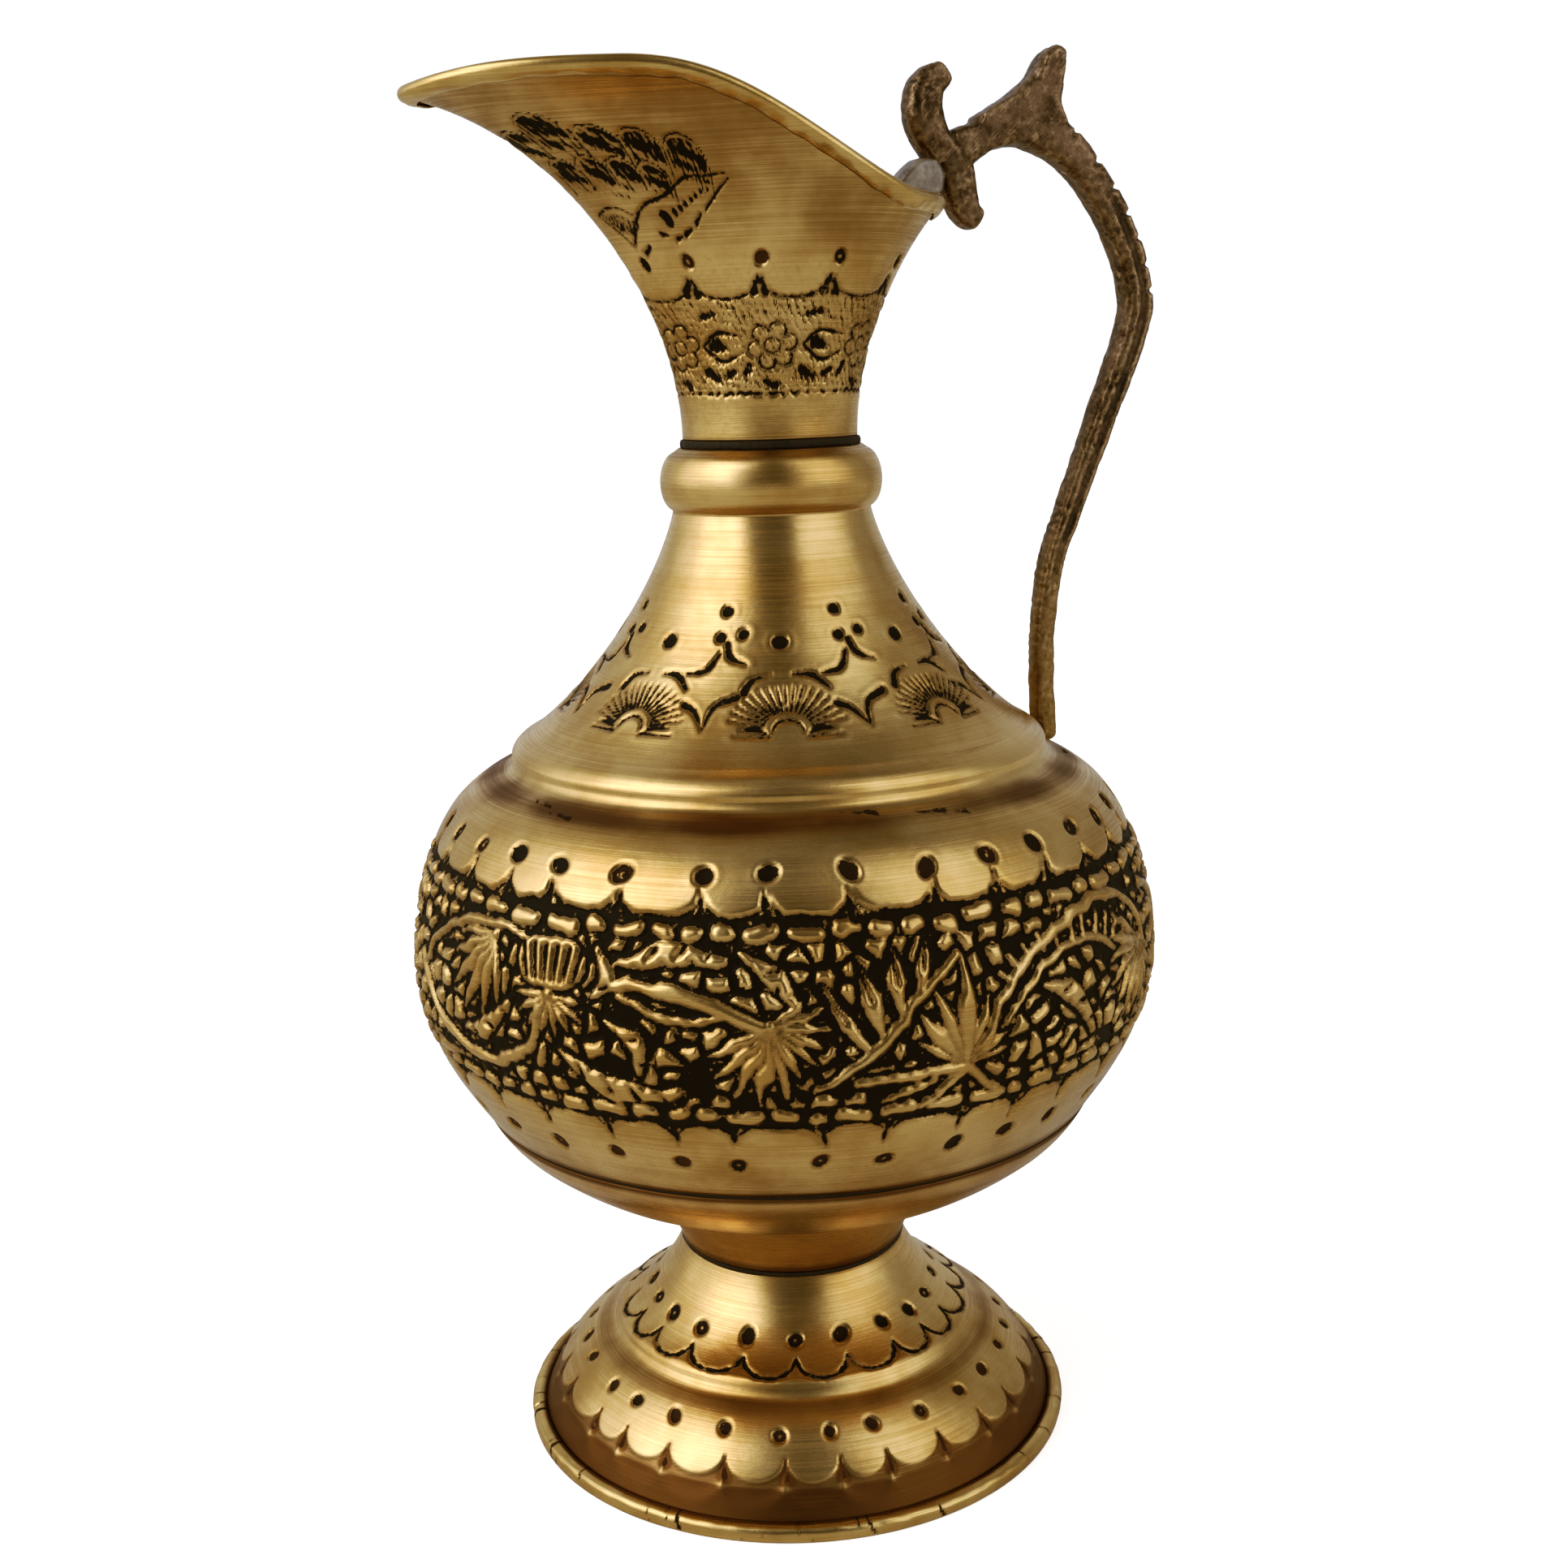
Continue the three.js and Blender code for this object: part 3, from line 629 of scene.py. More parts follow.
def foot_relief(theta, s, z, r):
    outline = np.concatenate([r, z], 1)
    height, ink, paint, tarnish_and_shade = blank_fields(theta, s)
    rng = np.random.default_rng(41)

    def lift(level):
        return float(np.interp(level, outline[:, 1], arc_length(outline)))

    upper = spaced([-71, -56, -39, -18.5, 0, 18, 36.5, 51.5, 66.5], 21, rng)
    lower = spaced([-73, -56.5, -46, -33, -18.5, -4.5, 8, 19, 33, 47, 59, 73], 28, rng)
    per_degree = math.pi / 180 * 35.5
    line = Strokes((per_degree, 1), lift)
    scallops(line, upper, 21.7, 23.9, 0.45)
    scallop = line.field(around(theta) * per_degree, s) + 0.2 * ripple(theta, s, 42, 3) - 0.04
    # Under the lower scallops the sheet is pressed in and left brown.
    cusps = [angle + 1.5 for angle in lower]
    edge = scallop_edge(around(theta), cusps, lift(8.6), lift(12.0)) - s
    pressed = smooth(edge, -0.35, 0.35) * smooth(edge, 5.2, 1.6)
    tips = Strokes((math.pi / 180 * 48, 1), lift)
    for angle in cusps:
        tips.line([(angle, 11.7), (angle + 0.4, 9.0)], [0.25, 0.8])
    tip = tips.field(around(theta) * math.pi / 180 * 48, s) + 0.25 * ripple(theta, s, 44, 3)
    marks = [(angle, lift(26.4 + rng.uniform(-0.3, 0.3)), rng.uniform(1.3, 1.6), rng.uniform(0.8, 1))
             for angle in upper]
    marks += [(angle, lift(15.0 + rng.uniform(-0.3, 0.3)), rng.uniform(1.15, 1.4), rng.uniform(0.5, 0.9))
              for angle in lower]
    spot, spot_paint = dots(theta, s, r, marks, 43)
    ink = np.maximum.reduce([scallop, spot, tip - 0.3])
    paint = np.where(spot > scallop, spot_paint, 1.0)
    paint = np.where(tip - 0.3 > np.maximum(scallop, spot), 0.4, paint)
    height = punched(scallop, 0.25, 0.5, 0.0) + punched(spot, 0.55, 0.65, 0.0) - 0.35 * pressed
    tarnish_and_shade = tarnish_and_shade + 0.55 * np.exp(-((z - 17.6) / 1.5) ** 2) + 0.7 * smooth(z, 8.0, 6.6)
    tarnish_and_shade = tarnish_and_shade + 0.3 * smooth(z, 14.5, 9)
    tarnish_and_shade = tarnish_and_shade + 0.5 * smooth(z, 35.2, 36.2) + 0.5 * pressed + 0.5 * smooth(tip, -1.0, 0.3)
    return height, ink, paint, tarnish_and_shade


def scallop_edge(degrees, cusps, low, high):
    """The height of a line of lobes at each angle, rising to a cusp at each given angle."""
    order = np.sort(np.array(cusps))
    order = np.r_[order[-1] - 360, order, order[0] + 360]
    k = np.clip(np.searchsorted(order, degrees), 1, len(order) - 1)
    t = 2 * (degrees - order[k - 1]) / (order[k] - order[k - 1]) - 1
    return low + (high - low) * (1 - np.sqrt(np.clip(1 - t ** 2 * 0.995, 0, 1)))


# ---- The spout ------------------------------------------------------------------------------------
SPOUT_BOTTOM = 196
MOUTH_RADIUS = 32.2
LIP_REACH = 31.8
LIP_HALF_WIDTH = 35
MOUTH_HIGH = 257.2
MOUTH_DROP = 20.6
LIP_DIP = 2


def mouth_edge(angle):
    """Radius and height of the mouth's edge at degrees from the lip."""
    angle = np.abs(angle)
    radius = MOUTH_RADIUS + LIP_REACH * np.exp(-((angle / LIP_HALF_WIDTH) ** 1.64))
    return radius, MOUTH_HIGH - MOUTH_DROP * smooth(angle, 38, 130) - LIP_DIP * np.exp(-((angle / 14) ** 2))


def spout_line(angle, count=90):
    """The spout's outside at one angle from the lip: points from the neck to the mouth's edge."""
    radius, height = mouth_edge(angle)
    side = smooth(abs(angle), 0, 90)
    slope = math.radians(12 + 33 * side)
    flare = 0.4 - 0.32 * side
    reach = math.hypot(radius - TUBE_RADIUS, height - SPOUT_BOTTOM)
    upper = (radius - flare * reach * math.cos(slope), height - flare * reach * math.sin(slope))
    return bezier((TUBE_RADIUS, SPOUT_BOTTOM), (TUBE_RADIUS, SPOUT_BOTTOM + (0.28 + 0.21 * side) * reach), upper,
                  (radius, height), count=count)


def spout_grid(columns, rows, stop):
    """Outer points and normals over the spout, and each point's distance below the mouth's edge."""
    turns = -180 + 360 * np.arange(columns) / columns
    points = np.zeros((rows, columns, 2))
    normals = np.zeros((rows, columns, 2))
    below = np.zeros((rows, columns))
    for column, turn in enumerate(turns):
        line = spout_line(turn)
        s = arc_length(line)
        tube = np.interp(222, line[:, 1], s)
        lower = rows * 45 // 100
        places = np.r_[np.linspace(0, tube, lower, endpoint=False), np.linspace(tube, s[-1] - stop, rows - lower)]
        normal = outline_normals(line)
        for k in (0, 1):
            points[:, column, k] = np.interp(places, s, line[:, k])
            normals[:, column, k] = np.interp(places, s, normal[:, k])
        below[:, column] = s[-1] - places
    return turns, points, normals, below


def tube_flowers(art, cut):
    """Thin-lined flowers and eyes round the spout's tube: x and y in millimetres, six of each."""
    per_degree = math.pi / 180 * TUBE_RADIUS

    def spot(angle):
        return per_degree * ((angle + 100) % 360 - 100)

    for k in range(6):
        x = spot(3 + 60 * k)
        art.arc((x, 212.5), 1.35, (0, 360), [0.2, 0.2], 12)
        for petal in range(6):
            turn = math.radians(60 * petal + 12)
            art.arc((x + 2.75 * math.cos(turn), 212.5 + 2.75 * math.sin(turn)), 1.4,
                    (60 * petal - 108, 60 * petal + 132), [0.18, 0.26, 0.18], 9)
        eye = spot(33 + 60 * k)
        art.curve([(eye - 3.6, 212.6), (eye - 0.8, 214.9), (eye + 3.4, 214.2)], [0.3, 0.42, 0.2], 8)
        art.curve([(eye - 3.6, 212.6), (eye - 0.2, 209.9), (eye + 3.6, 211.4)], [0.3, 0.42, 0.2], 8)
        cut.line([(eye - 1.3, 212.8), (eye - 0.2, 212.4)], [1.2, 0.8])
        cut.line([(eye - 3.4, 208), (eye - 1.4, 206.9)], [0.9, 0.5])
        cut.line([(eye + 0.8, 207.4), (eye + 2.0, 208.4)], [0.7, 0.3])
        cut.line([(x + 0.4, 205.6), (x - 1.4, 206.4)], [0.8, 0.4])
        cut.line([(x - 3.9, 209), (x - 4.8, 207.6)], [0.6, 0.4])
        cut.line([(eye - 3, 217.6), (eye - 1, 218.2)], [0.5, 0.3])


# The scales on each side of the lip: middle and half width in degrees from the lip, then the depths
# below the mouth's edge, in millimetres, of the arch's top, its shoulders and its foot.
LIP_SCALES = ((2.6, 4.4, 16.5, 20, 26), (11.5, 4.9, 12.6, 18.5, 26), (21, 5.0, 15.8, 20, 25.5),
              (30.8, 5.6, 15.2, 19.6, 25.5), (43.0, 7.2, 14.2, 19.4, 25), (6.6, 4.2, 24.4, 28, 34),
              (14.4, 4.2, 23.6, 27.4, 33), (22, 4.2, 22.8, 26.6, 31), (30, 4.6, 22, 25.6, 29.5))


def lip_scales(side, below, rough):
    """Arched scales with a thin outline and a blackened, stippled middle; the second row overlaps."""
    ink = np.full(side.shape, -9.0)
    for middle, half, top, shoulder, foot in LIP_SCALES:
        u = (side - middle) / half
        arch = shoulder - (shoulder - top) * np.sqrt(np.clip(1 - u * u, 0, 1))
        wall = (1 - np.abs(u)) * half * 0.72
        inside = np.minimum(np.minimum(below - arch, wall), foot - below)
        share = np.clip((below - top) / (foot - top), 0, 1)
        outline = 0.24 - np.abs(np.minimum(below - arch, wall))
        filled = np.minimum(inside - 0.85, 0.4 + 0.9 * rough - 0.95 * smooth(share, 0.35, 0.95))
        own = np.maximum(np.where(below < foot - 1, outline, -9), filled)
        ink = np.where(inside > -0.25, own, ink)
    return ink


def lip_panel(cut):
    """The leaf beside the scales, its dots and dashes, and the little shell: x in degrees, y in mm."""
    cut.curve([(56, -17.5), (47, -20.6), (39, -23), (31, -27.8), (23, -31.7), (17, -36.3), (11, -42.7)],
              [0.2, 0.34, 0.3], 22)
    cut.curve([(4, -38), (7, -40.6), (10.4, -43.4)], [0.2, 0.3, 0.25], 8)
    cut.curve([(4.4, -37.4), (11, -35.2), (17.6, -36)], [0.2, 0.3, 0.2], 8)
    for share in np.linspace(-1, 1, 9):
        cut.line([(11 + 5.6 * share, -36.8 - 0.7 * abs(share)), (11 + 2.2 * share, -40.6)], [0.16, 0.2])
    for angle, depth, size in ((47.5, 22.7, 0.42), (44.5, 24, 0.46), (42, 25.3, 0.5), (39.8, 26.6, 0.52),
                               (37, 28, 0.6), (34.7, 29.3, 0.66), (32, 30.7, 0.75), (28.2, 33, 1.5)):
        cut.line([(angle, -depth), (angle - 0.2, -depth - 0.1)], size)
    cut.curve([(57, -18), (51, -22.4), (45, -27)], [0.15, 0.25, 0.3], 8)
    for start, end in (((42.4, 28.4), (39.4, 31)), ((37, 32.4), (33.6, 34.4)), ((32, 35), (29.4, 36.4)),
                       ((26.4, 36.6), (23.6, 37.2)), ((17, 41.6), (13.6, 44))):
        cut.line([(start[0], -start[1]), (end[0], -end[1])], [0.3, 0.5])
    cut.line([(11, -46.6), (10.6, -46.9)], 1.2)


def spout_relief(theta, turns, points, below):
    """Height, ink, paint and tarnish over the spout's grid."""
    z = points[:, :, 1]
    across = around(theta) * math.pi / 180 * TUBE_RADIUS
    rng = np.random.default_rng(51)
    art, cut = Strokes(), Strokes()
    tube_flowers(art, cut)
    flowers = art.field(across, z)
    patches = cut.field(across, z) + 0.3 * ripple(theta, z, 58, 2.4)
    cusps = spaced([-40, -3, 32], 10, rng, 2)
    lobes = Strokes((math.pi / 180 * TUBE_RADIUS, 1))
    scallops(lobes, cusps, 220.6, 223.8, 0.24)
    for angle in cusps:
        lobes.line([(angle - 3.2, 221.6), (angle - 0.8, 224.2)], [0.7, 0.25])
        lobes.line([(angle + 3.0, 221.4), (angle + 0.8, 224)], [0.6, 0.2])
    lobe = lobes.field(across, z) + 0.16 * ripple(theta, z, 52, 3)
    worn_away = 0.4 * smooth(ripple(theta, z * 0, 54, 4), -0.1, 0.5)
    dash = 0.34 - np.abs(z - 204.4 - 0.3 * ripple(theta, z * 0, 53, 6)) - worn_away
    marks = [(angle + 1.5, 227 + rng.uniform(-0.4, 0.4), rng.uniform(1.0, 1.3), rng.uniform(0.4, 0.9))
             for angle in cusps]
    spot, spot_paint = dots(theta, z, points[:, :, 0], marks, 55)
    # The panel is symmetric about the lip.
    side = np.abs(turns)[None, :] + 0 * below
    rough = ripple(theta * 2, z, 59, 2.4)
    scales = lip_scales(side, below, rough)
    panel = Strokes((0.75, 1))
    lip_panel(panel)
    work = np.maximum(panel.field(side * 0.75, -below), scales)
    inside = np.minimum(np.minimum(z - 205.0, 220.6 - z), 9)
    stipple = smooth(ripple(theta, z, 56, 1.3), 0.05, 0.5) * smooth(inside, -0.2, 0.5)
    worn = smooth(ripple(theta, z, 60, 5), -0.5, 0.4) * (1 - 0.6 * smooth(flowers, -2.2, -0.6))
    dotted = stipple * (0.4 + 0.6 * worn) - 0.62
    ink = np.maximum.reduce([flowers - 0.03, patches, lobe, dash, spot, work, dotted])
    paint = np.where(spot >= ink, spot_paint, 1.0)
    paint = np.where(dotted >= ink, 0.75, paint)
    height = punched(np.maximum.reduce([flowers, lobe, dash]), 0.28, 0.35, 0.04)
    height += punched(np.maximum(patches, spot), 0.4, 0.5, 0.06) + punched(work, 0.4, 0.4, 0.05) - 0.2 * stipple
    tarnish_and_shade = 0.3 * smooth(inside, 0, 1) * (1 - 0.5 * worn) + 0.5 * smooth(z, 197.6, 196.2)
    tarnish_and_shade = tarnish_and_shade + 0.42 * smooth(z, 219, 234)
    return height, ink, paint, tarnish_and_shade


def spout_funnel(material):
    columns, rows = ((640, 190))
    turns, points, normals, below = spout_grid(columns, rows, 0.6)
    theta = math.pi - np.radians(turns)[None, :]
    height, ink, paint, tarnish_and_shade = spout_relief(theta, turns, points, below)
    height = height + 0.12 * ripple(theta, points[:, :, 1], 57, 30) * smooth(points[:, :, 1], 200, 230)
    outer = points + normals * height[:, :, None]
    keep = np.unique(np.r_[np.arange(0, rows, 5), rows - 1])[::-1]
    inner = points[keep] - normals[keep] * SHEET
    inner[:, :, 1] = np.maximum(inner[:, :, 1], SPOUT_BOTTOM)
    both = np.concatenate([outer, inner])
    theta = theta + 0 * both[:, :, 0]
    r, z = both[:, :, 0], both[:, :, 1]
    # Columns run clockwise seen from above, so they are listed backwards.
    flip = slice(None, None, -1)
    vertices = np.stack([AXIS_X + r * np.cos(theta), r * np.sin(theta), z], -1)[:, flip].reshape(-1, 3)
    pad = np.zeros((len(inner), columns))
    fields = {
        "ink": np.concatenate([ink, pad - 9])[:, flip].ravel(),
        "paint": np.concatenate([paint, pad])[:, flip].ravel(),
        "tarnish_and_shade": np.concatenate([tarnish_and_shade, pad + 0.3])[:, flip].ravel(),
        "lay": np.stack([np.cos(theta) * r, np.sin(theta) * r, z], -1)[:, flip].reshape(-1, 3),
    }
    return make_piece("spout", vertices, grid_faces(len(both), columns, True), material, fields)


def mouth_rim(material):
    """The edging strip folded over the mouth: an outer band, a rounded top and an inner leaf."""
    columns = 640
    turns = -180 + 360 * np.arange(columns) / columns
    leaf = 0.5
    outside, inside = 0.28, -SHEET - 0.25
    middle = (outside + inside) / 2
    half = (outside - inside) / 2
    bend = np.radians(np.linspace(0, 180, 9))
    wide = np.stack([0.15 + (half + leaf) * np.sin(bend), middle + (half + leaf) * np.cos(bend)], -1)
    tight = np.stack([0.1 + half * np.sin(bend), middle + half * np.cos(bend)], -1)[::-1]
    section = np.concatenate([
        [(-1.6, outside), (-1.95, outside + 0.12), (-1.9, outside + 0.42), (-1.4, outside + leaf + 0.05),
         (-0.6, outside + leaf + 0.06)],
        wide, [(-1.2, inside - leaf), (-1.7, inside - leaf + 0.12), (-1.7, inside)], tight])
    loops = []
    for turn in turns:
        line = spout_line(turn)
        edge = line[-1]
        along = line[-1] - line[-2]
        along /= np.hypot(*along)
        out = np.array([along[1], -along[0]])
        place = math.radians(turn)
        wave = 0.22 * math.sin(9 * place + 1) + 0.16 * math.sin(23 * place) + 0.1 * math.sin(41 * place + 2)
        dent = 0.12 * math.sin(17 * place + 0.5) + 0.08 * math.sin(53 * place)
        stretch = np.where(section[:, 0] < 0, 1 + 0.35 * wave, 1)
        pushed = section[:, 1] + dent * (section[:, 0] < 0)
        loops.append(edge + np.outer(section[:, 0] * stretch, along) + np.outer(pushed, out))
    loops = np.array(loops).transpose(1, 0, 2)
    theta = (math.pi - np.radians(turns))[None, :] + 0 * loops[:, :, 0]
    r, z = loops[:, :, 0], loops[:, :, 1]
    vertices = np.stack([AXIS_X + r * np.cos(theta), r * np.sin(theta), z], -1)[:, ::-1].reshape(-1, 3)
    blank = np.zeros(len(vertices))
    # Painted shadow: the two lowest points of the outer band's folded edge are browned as the shade under the
    # fold.
    hem_edge_shadow = (np.arange(len(section))[:, None] < 2) * 0.9 + 0 * theta
    fields = {"ink": blank - 9, "paint": blank, "tarnish_and_shade": hem_edge_shadow.ravel(),
              "lay": np.stack([np.cos(theta) * r, np.sin(theta) * r, z], -1)[:, ::-1].reshape(-1, 3)}
    faces = grid_faces(len(section), columns, True)
    return make_piece("mouth_hem", vertices, faces, material, fields)


# ---- Solder, foot ring and handle -----------------------------------------------------------------


def solder_bead(name, radius, low, high, bulge, material, seed, inner=None):
    """A lumpy ring of solder that fills a joint."""
    columns, around_count = 480, 14
    theta = 2 * math.pi * np.arange(columns)[None, :] / columns
    turn = 2 * math.pi * np.arange(around_count)[:, None] / around_count
    middle, half = (low + high) / 2, (high - low) / 2
    lump = 1 + 0.3 * ripple(theta, 0 * theta, seed, 5)
    inner = radius - 1.4 if inner is None else inner
    swell = np.where(np.cos(turn) > 0, bulge * lump * np.cos(turn), (radius - inner) * np.cos(turn))
    r = radius + swell
    z = middle + half * np.sin(turn) + 0 * theta
    r = r + 0 * theta
    vertices = np.stack([AXIS_X + r * np.cos(theta), r * np.sin(theta), z], -1).reshape(-1, 3)
    faces = grid_faces(around_count, columns, True)
    return make_piece(name, vertices, faces, material)


def foot_ring(material):
    """The strip round the foot's edge, with a flat sole, small pits and a butt joint at the side."""
    columns = 720
    low, high = RING_LOW[2], RING_HIGH[2]
    radius = FOOT_RADIUS - 1.65
    joint = math.radians(170)
    crack = 0.3 / FOOT_RADIUS
    section = np.array([(-1.15, 0), (0, 0), (1.1, 0), (1.45, 0.25), (1.62, 0.9), (1.65, 1.5), (1.55, 2.15),
                        (1.25, 2.65), (0.8, 2.95), (0, 3.1), (-0.9, 3.0), (-1.5, 2.3), (-1.65, 1.4),
                        (-1.5, 0.4)])
    places = np.linspace(joint + crack, joint + 2 * math.pi - crack, columns)
    theta = places[None, :]
    wear = 0.1 * ripple(theta, section[:, 1][:, None] * 3, 71, 6)
    standing = smooth(section[:, 1][:, None], 0.05, 0.5)
    pinch = np.exp(-np.minimum(places - places[0], places[-1] - places) * FOOT_RADIUS / 1.2)[None, :]
    r = radius + section[:, 0][:, None] * (1 - 0.12 * pinch) + np.minimum(wear, 0) * standing
    up = section[:, 1][:, None]
    z = low + (high - low) / 3.1 * (up + wear * standing * (up < 3)) + 0 * theta
    z = np.clip(z, low, high)
    vertices = np.stack([AXIS_X + r * np.cos(theta), r * np.sin(theta), z], -1)
    rows = len(section)
    order = vertices.transpose(1, 0, 2).reshape(-1, 3)
    quads = []
    for column in range(columns - 1):
        for row in range(rows):
            a = column * rows + row
            b = column * rows + (row + 1) % rows
            quads.append((a, a + rows, b + rows, b))
    # Each end closes on a point at its middle.
    first_tip, last_tip = len(order), len(order) + 1
    order = np.concatenate([order, [vertices[:, 0].mean(0), vertices[:, -1].mean(0)]])
    last = (columns - 1) * rows
    caps = []
    for row in range(rows):
        after = (row + 1) % rows
        caps.append((first_tip, row, after))
        caps.append((last_tip, last + after, last + row))
    piece = make_mixed("foot_ring", order, [*quads, *caps], material)
    nick = smooth(ripple(theta * 2, section[:, 1][:, None], 72, 5), 0.62, 0.95) * standing
    seam = np.clip(1.2 - np.abs(np.arange(rows) - 10.5)[:, None] / 2, 0, 1)
    fields = {"ink": np.append((1.1 * nick - 0.75).T.ravel(), [-9, -9]), "paint": np.full(len(order), 0.9),
              "tarnish_and_shade": np.append((0.8 * seam + 0.25 * nick).T.ravel(), [0.5, 0.5])}
    for key, values in fields.items():
        layer = piece.data.attributes.new(key, "FLOAT", "POINT")
        layer.data.foreach_set("value", values.astype(np.float32))
    lay = piece.data.attributes.new("lay", "FLOAT_VECTOR", "POINT")
    lay.data.foreach_set("vector", (order - np.array([AXIS_X, 0, 0])).astype(np.float32).ravel())
    return piece


def make_mixed(name, vertices, faces, material):
    """A small mesh piece from millimetre points and faces of any number of sides."""
    mesh = bpy.data.meshes.new(name)
    mesh.from_pydata([tuple(point * MM) for point in np.asarray(vertices)], [], [tuple(face) for face in faces])
    mesh.polygons.foreach_set("use_smooth", np.full(len(mesh.polygons), True))
    mesh.update()
    piece = bpy.data.objects.new(name, mesh)
    bpy.context.scene.collection.objects.link(piece)
    mesh.materials.append(material)
    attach(piece, "root")
    return piece


def spine_points(stations, count):
    """Points, directions, thicknesses and widths along a bar's spine in the plane y = 0."""
    stations = np.array(stations, float)
    knots = np.arange(len(stations))
    at = np.linspace(0, len(stations) - 1, count)
    soft = np.stack([spline(knots, stations[:, k], at) for k in range(4)], -1)
    along = np.gradient(soft[:, :2], axis=0)
    along /= np.hypot(*along.T)[:, None]
    return soft, along


def cast_bar(stations, count, shape=None, sides=48, power=0.62):
    """Vertices and faces of a closed bar. shape(share, turn) scales the section's radius."""
    soft, along = spine_points(stations, count)
    across = np.stack([-along[:, 1], along[:, 0]], -1)
    turns = 2 * math.pi * np.arange(sides) / sides
    share = np.linspace(0, 1, count)[:, None]
    grow = shape(share, turns[None, :], soft) if shape else np.ones((count, sides))
    # The ends close over a rounded cap.
    end = np.minimum(share, 1 - share) * (count - 1)
    grow = grow * np.sqrt(np.clip(1 - np.clip(1 - end / 3, 0, 1) ** 2, 0.02, 1))
    cos, sin = (np.sign(f(turns)) * np.abs(f(turns)) ** power for f in (np.cos, np.sin))
    off = grow * cos[None, :] * soft[:, 2:3] / 2
    x = AXIS_X + soft[:, 0:1] + across[:, 0:1] * off
    z = soft[:, 1:2] + across[:, 1:2] * off
    y = grow * sin[None, :] * soft[:, 3:4] / 2
    vertices = np.stack([x, y, z], -1).reshape(-1, 3)
    faces = [tuple(face) for face in grid_faces(count, sides, False)]
    faces.append(tuple(range(sides))[::-1])
    faces.append(tuple((count - 1) * sides + k for k in range(sides)))
    return vertices, faces


def plate_solid(corners, thickness, bevel=1.2):
    """Vertices and faces of a plate cut to an outline in the plane y = 0, with softened faces."""
    corners = np.array(corners, float)
    middle = corners.mean(0)
    layers = []
    for y, inset in ((-thickness / 2, bevel), (-thickness / 2 + bevel, 0), (thickness / 2 - bevel, 0),
                     (thickness / 2, bevel)):
        way = corners - middle
        way = way / np.hypot(*way.T)[:, None]
        ring = corners - way * inset
        layers.append(np.stack([AXIS_X + ring[:, 0], np.full(len(ring), y), ring[:, 1]], -1))
    size = len(corners)
    faces = [tuple(face) for face in grid_faces(4, size, False)]
    faces.append(tuple(range(size))[::-1])
    faces.append(tuple(3 * size + k for k in range(size)))
    return np.concatenate(layers), faces


HANDLE_BAR = [
    (57.9, 132.6, 4.8, 5.4), (57.2, 146, 4.7, 5.3), (57.4, 157, 4.8, 5.4), (59.4, 169.5, 5.0, 5.8),
    (62.6, 178, 5.2, 6.0), (66.2, 187, 5.4, 6.2), (70.2, 197, 5.8, 6.6), (74.1, 206.5, 6.0, 7.0),
    (76.8, 213.5, 6.2, 7.2), (77.9, 219.5, 6.4, 7.4), (76.6, 226.5, 6.4, 7.4), (73.6, 233.6, 6.6, 7.4),
    (69.6, 240.2, 6.8, 7.4), (64.6, 246.2, 7.2, 7.4), (58.8, 250.4, 8.0, 7.4), (51.5, 252.2, 7.4, 7.4),
    (45, 250.8, 6.6, 7.4), (38.2, 247.6, 8.0, 7.4)]
HANDLE_CURL = [(36.6, 246.2, 6.6, 6.6), (33.4, 250.2, 6.8, 7.0), (31.9, 255, 7.2, 7.0),
               (33, 259.4, 6.6, 6.6), (36.6, 261.8, 4.4, 5.6)]
HANDLE_POINT = [(37.6, 249, 7.0, 6.6), (38.6, 244.4, 6.6, 6.4), (39.6, 239.6, 6.6, 6.2),
                (41.0, 236.6, 5.8, 5.6), (43.6, 234.9, 3.8, 4.4)]
HANDLE_HORN = [(42, 250), (42.4, 253.9), (49.6, 257.9), (54, 261.4), (57, 265.8), (59.2, 267.1),
               (61.2, 266.3), (60.8, 261.6), (60.2, 256.6), (61.8, 252.5), (56, 250)]


def bar_grooves(share, turn, soft):
    """Ring grooves on the bar's upper back, ribs inside its lower length and a groove along the side."""
    height = soft[:, 1:2]
    back = np.clip(-np.cos(turn), 0, 1)
    inside = np.clip(np.cos(turn), 0, 1)
    rings = smooth(np.cos(2 * math.pi * (height - 221.4) / 4.6), 0.8, 0.99)
    rings = rings * smooth(height, 219.5, 221) * smooth(height, 250.5, 249) * (share < 0.8)
    ribs = smooth(np.cos(2 * math.pi * (height - 150) / 1.75), 0, 0.95) * smooth(height, 146, 150)
    ribs = ribs * smooth(height, 184, 174) * (share < 0.6)
    side = np.exp(-((np.abs(np.sin(turn + 0.1)) - 1) / 0.014) ** 2) * smooth(height, 158, 176)
    side = side * smooth(share, 0.72, 0.64)
    return 0.95 - 0.26 * rings * smooth(back, 0, 0.5) - 0.09 * ribs * inside - 0.2 * side


def handle(material):
    """One rough casting: every part of the handle joined by a fine remesh, then pitted."""
    vertices, faces = [], []
    parts = [cast_bar(HANDLE_BAR, 420, bar_grooves), cast_bar(HANDLE_CURL, 90), cast_bar(HANDLE_POINT, 60),
             plate_solid(HANDLE_HORN, 7.0)]
    for points, polygons in parts:
        start = sum(len(block) for block in vertices)
        vertices.append(points)
        faces += [tuple(start + k for k in polygon) for polygon in polygons]
    piece = make_mixed("cast_handle", np.concatenate(vertices), faces, material)
    remesh = piece.modifiers.new("join", "REMESH")
    remesh.mode = "VOXEL"
    remesh.voxel_size = 0.42 * MM
    remesh.use_smooth_shade = True
    soften = piece.modifiers.new("soften", "SMOOTH")
    soften.factor = 0.5
    soften.iterations = 1
    mesh = bpy.data.meshes.new_from_object(piece.evaluated_get(bpy.context.evaluated_depsgraph_get()))
    piece.modifiers.clear()
    piece.data = mesh
    roughen(mesh, 81)
    mesh.materials.clear()
    mesh.materials.append(material)
    mesh.name = "cast_handle"
    return piece


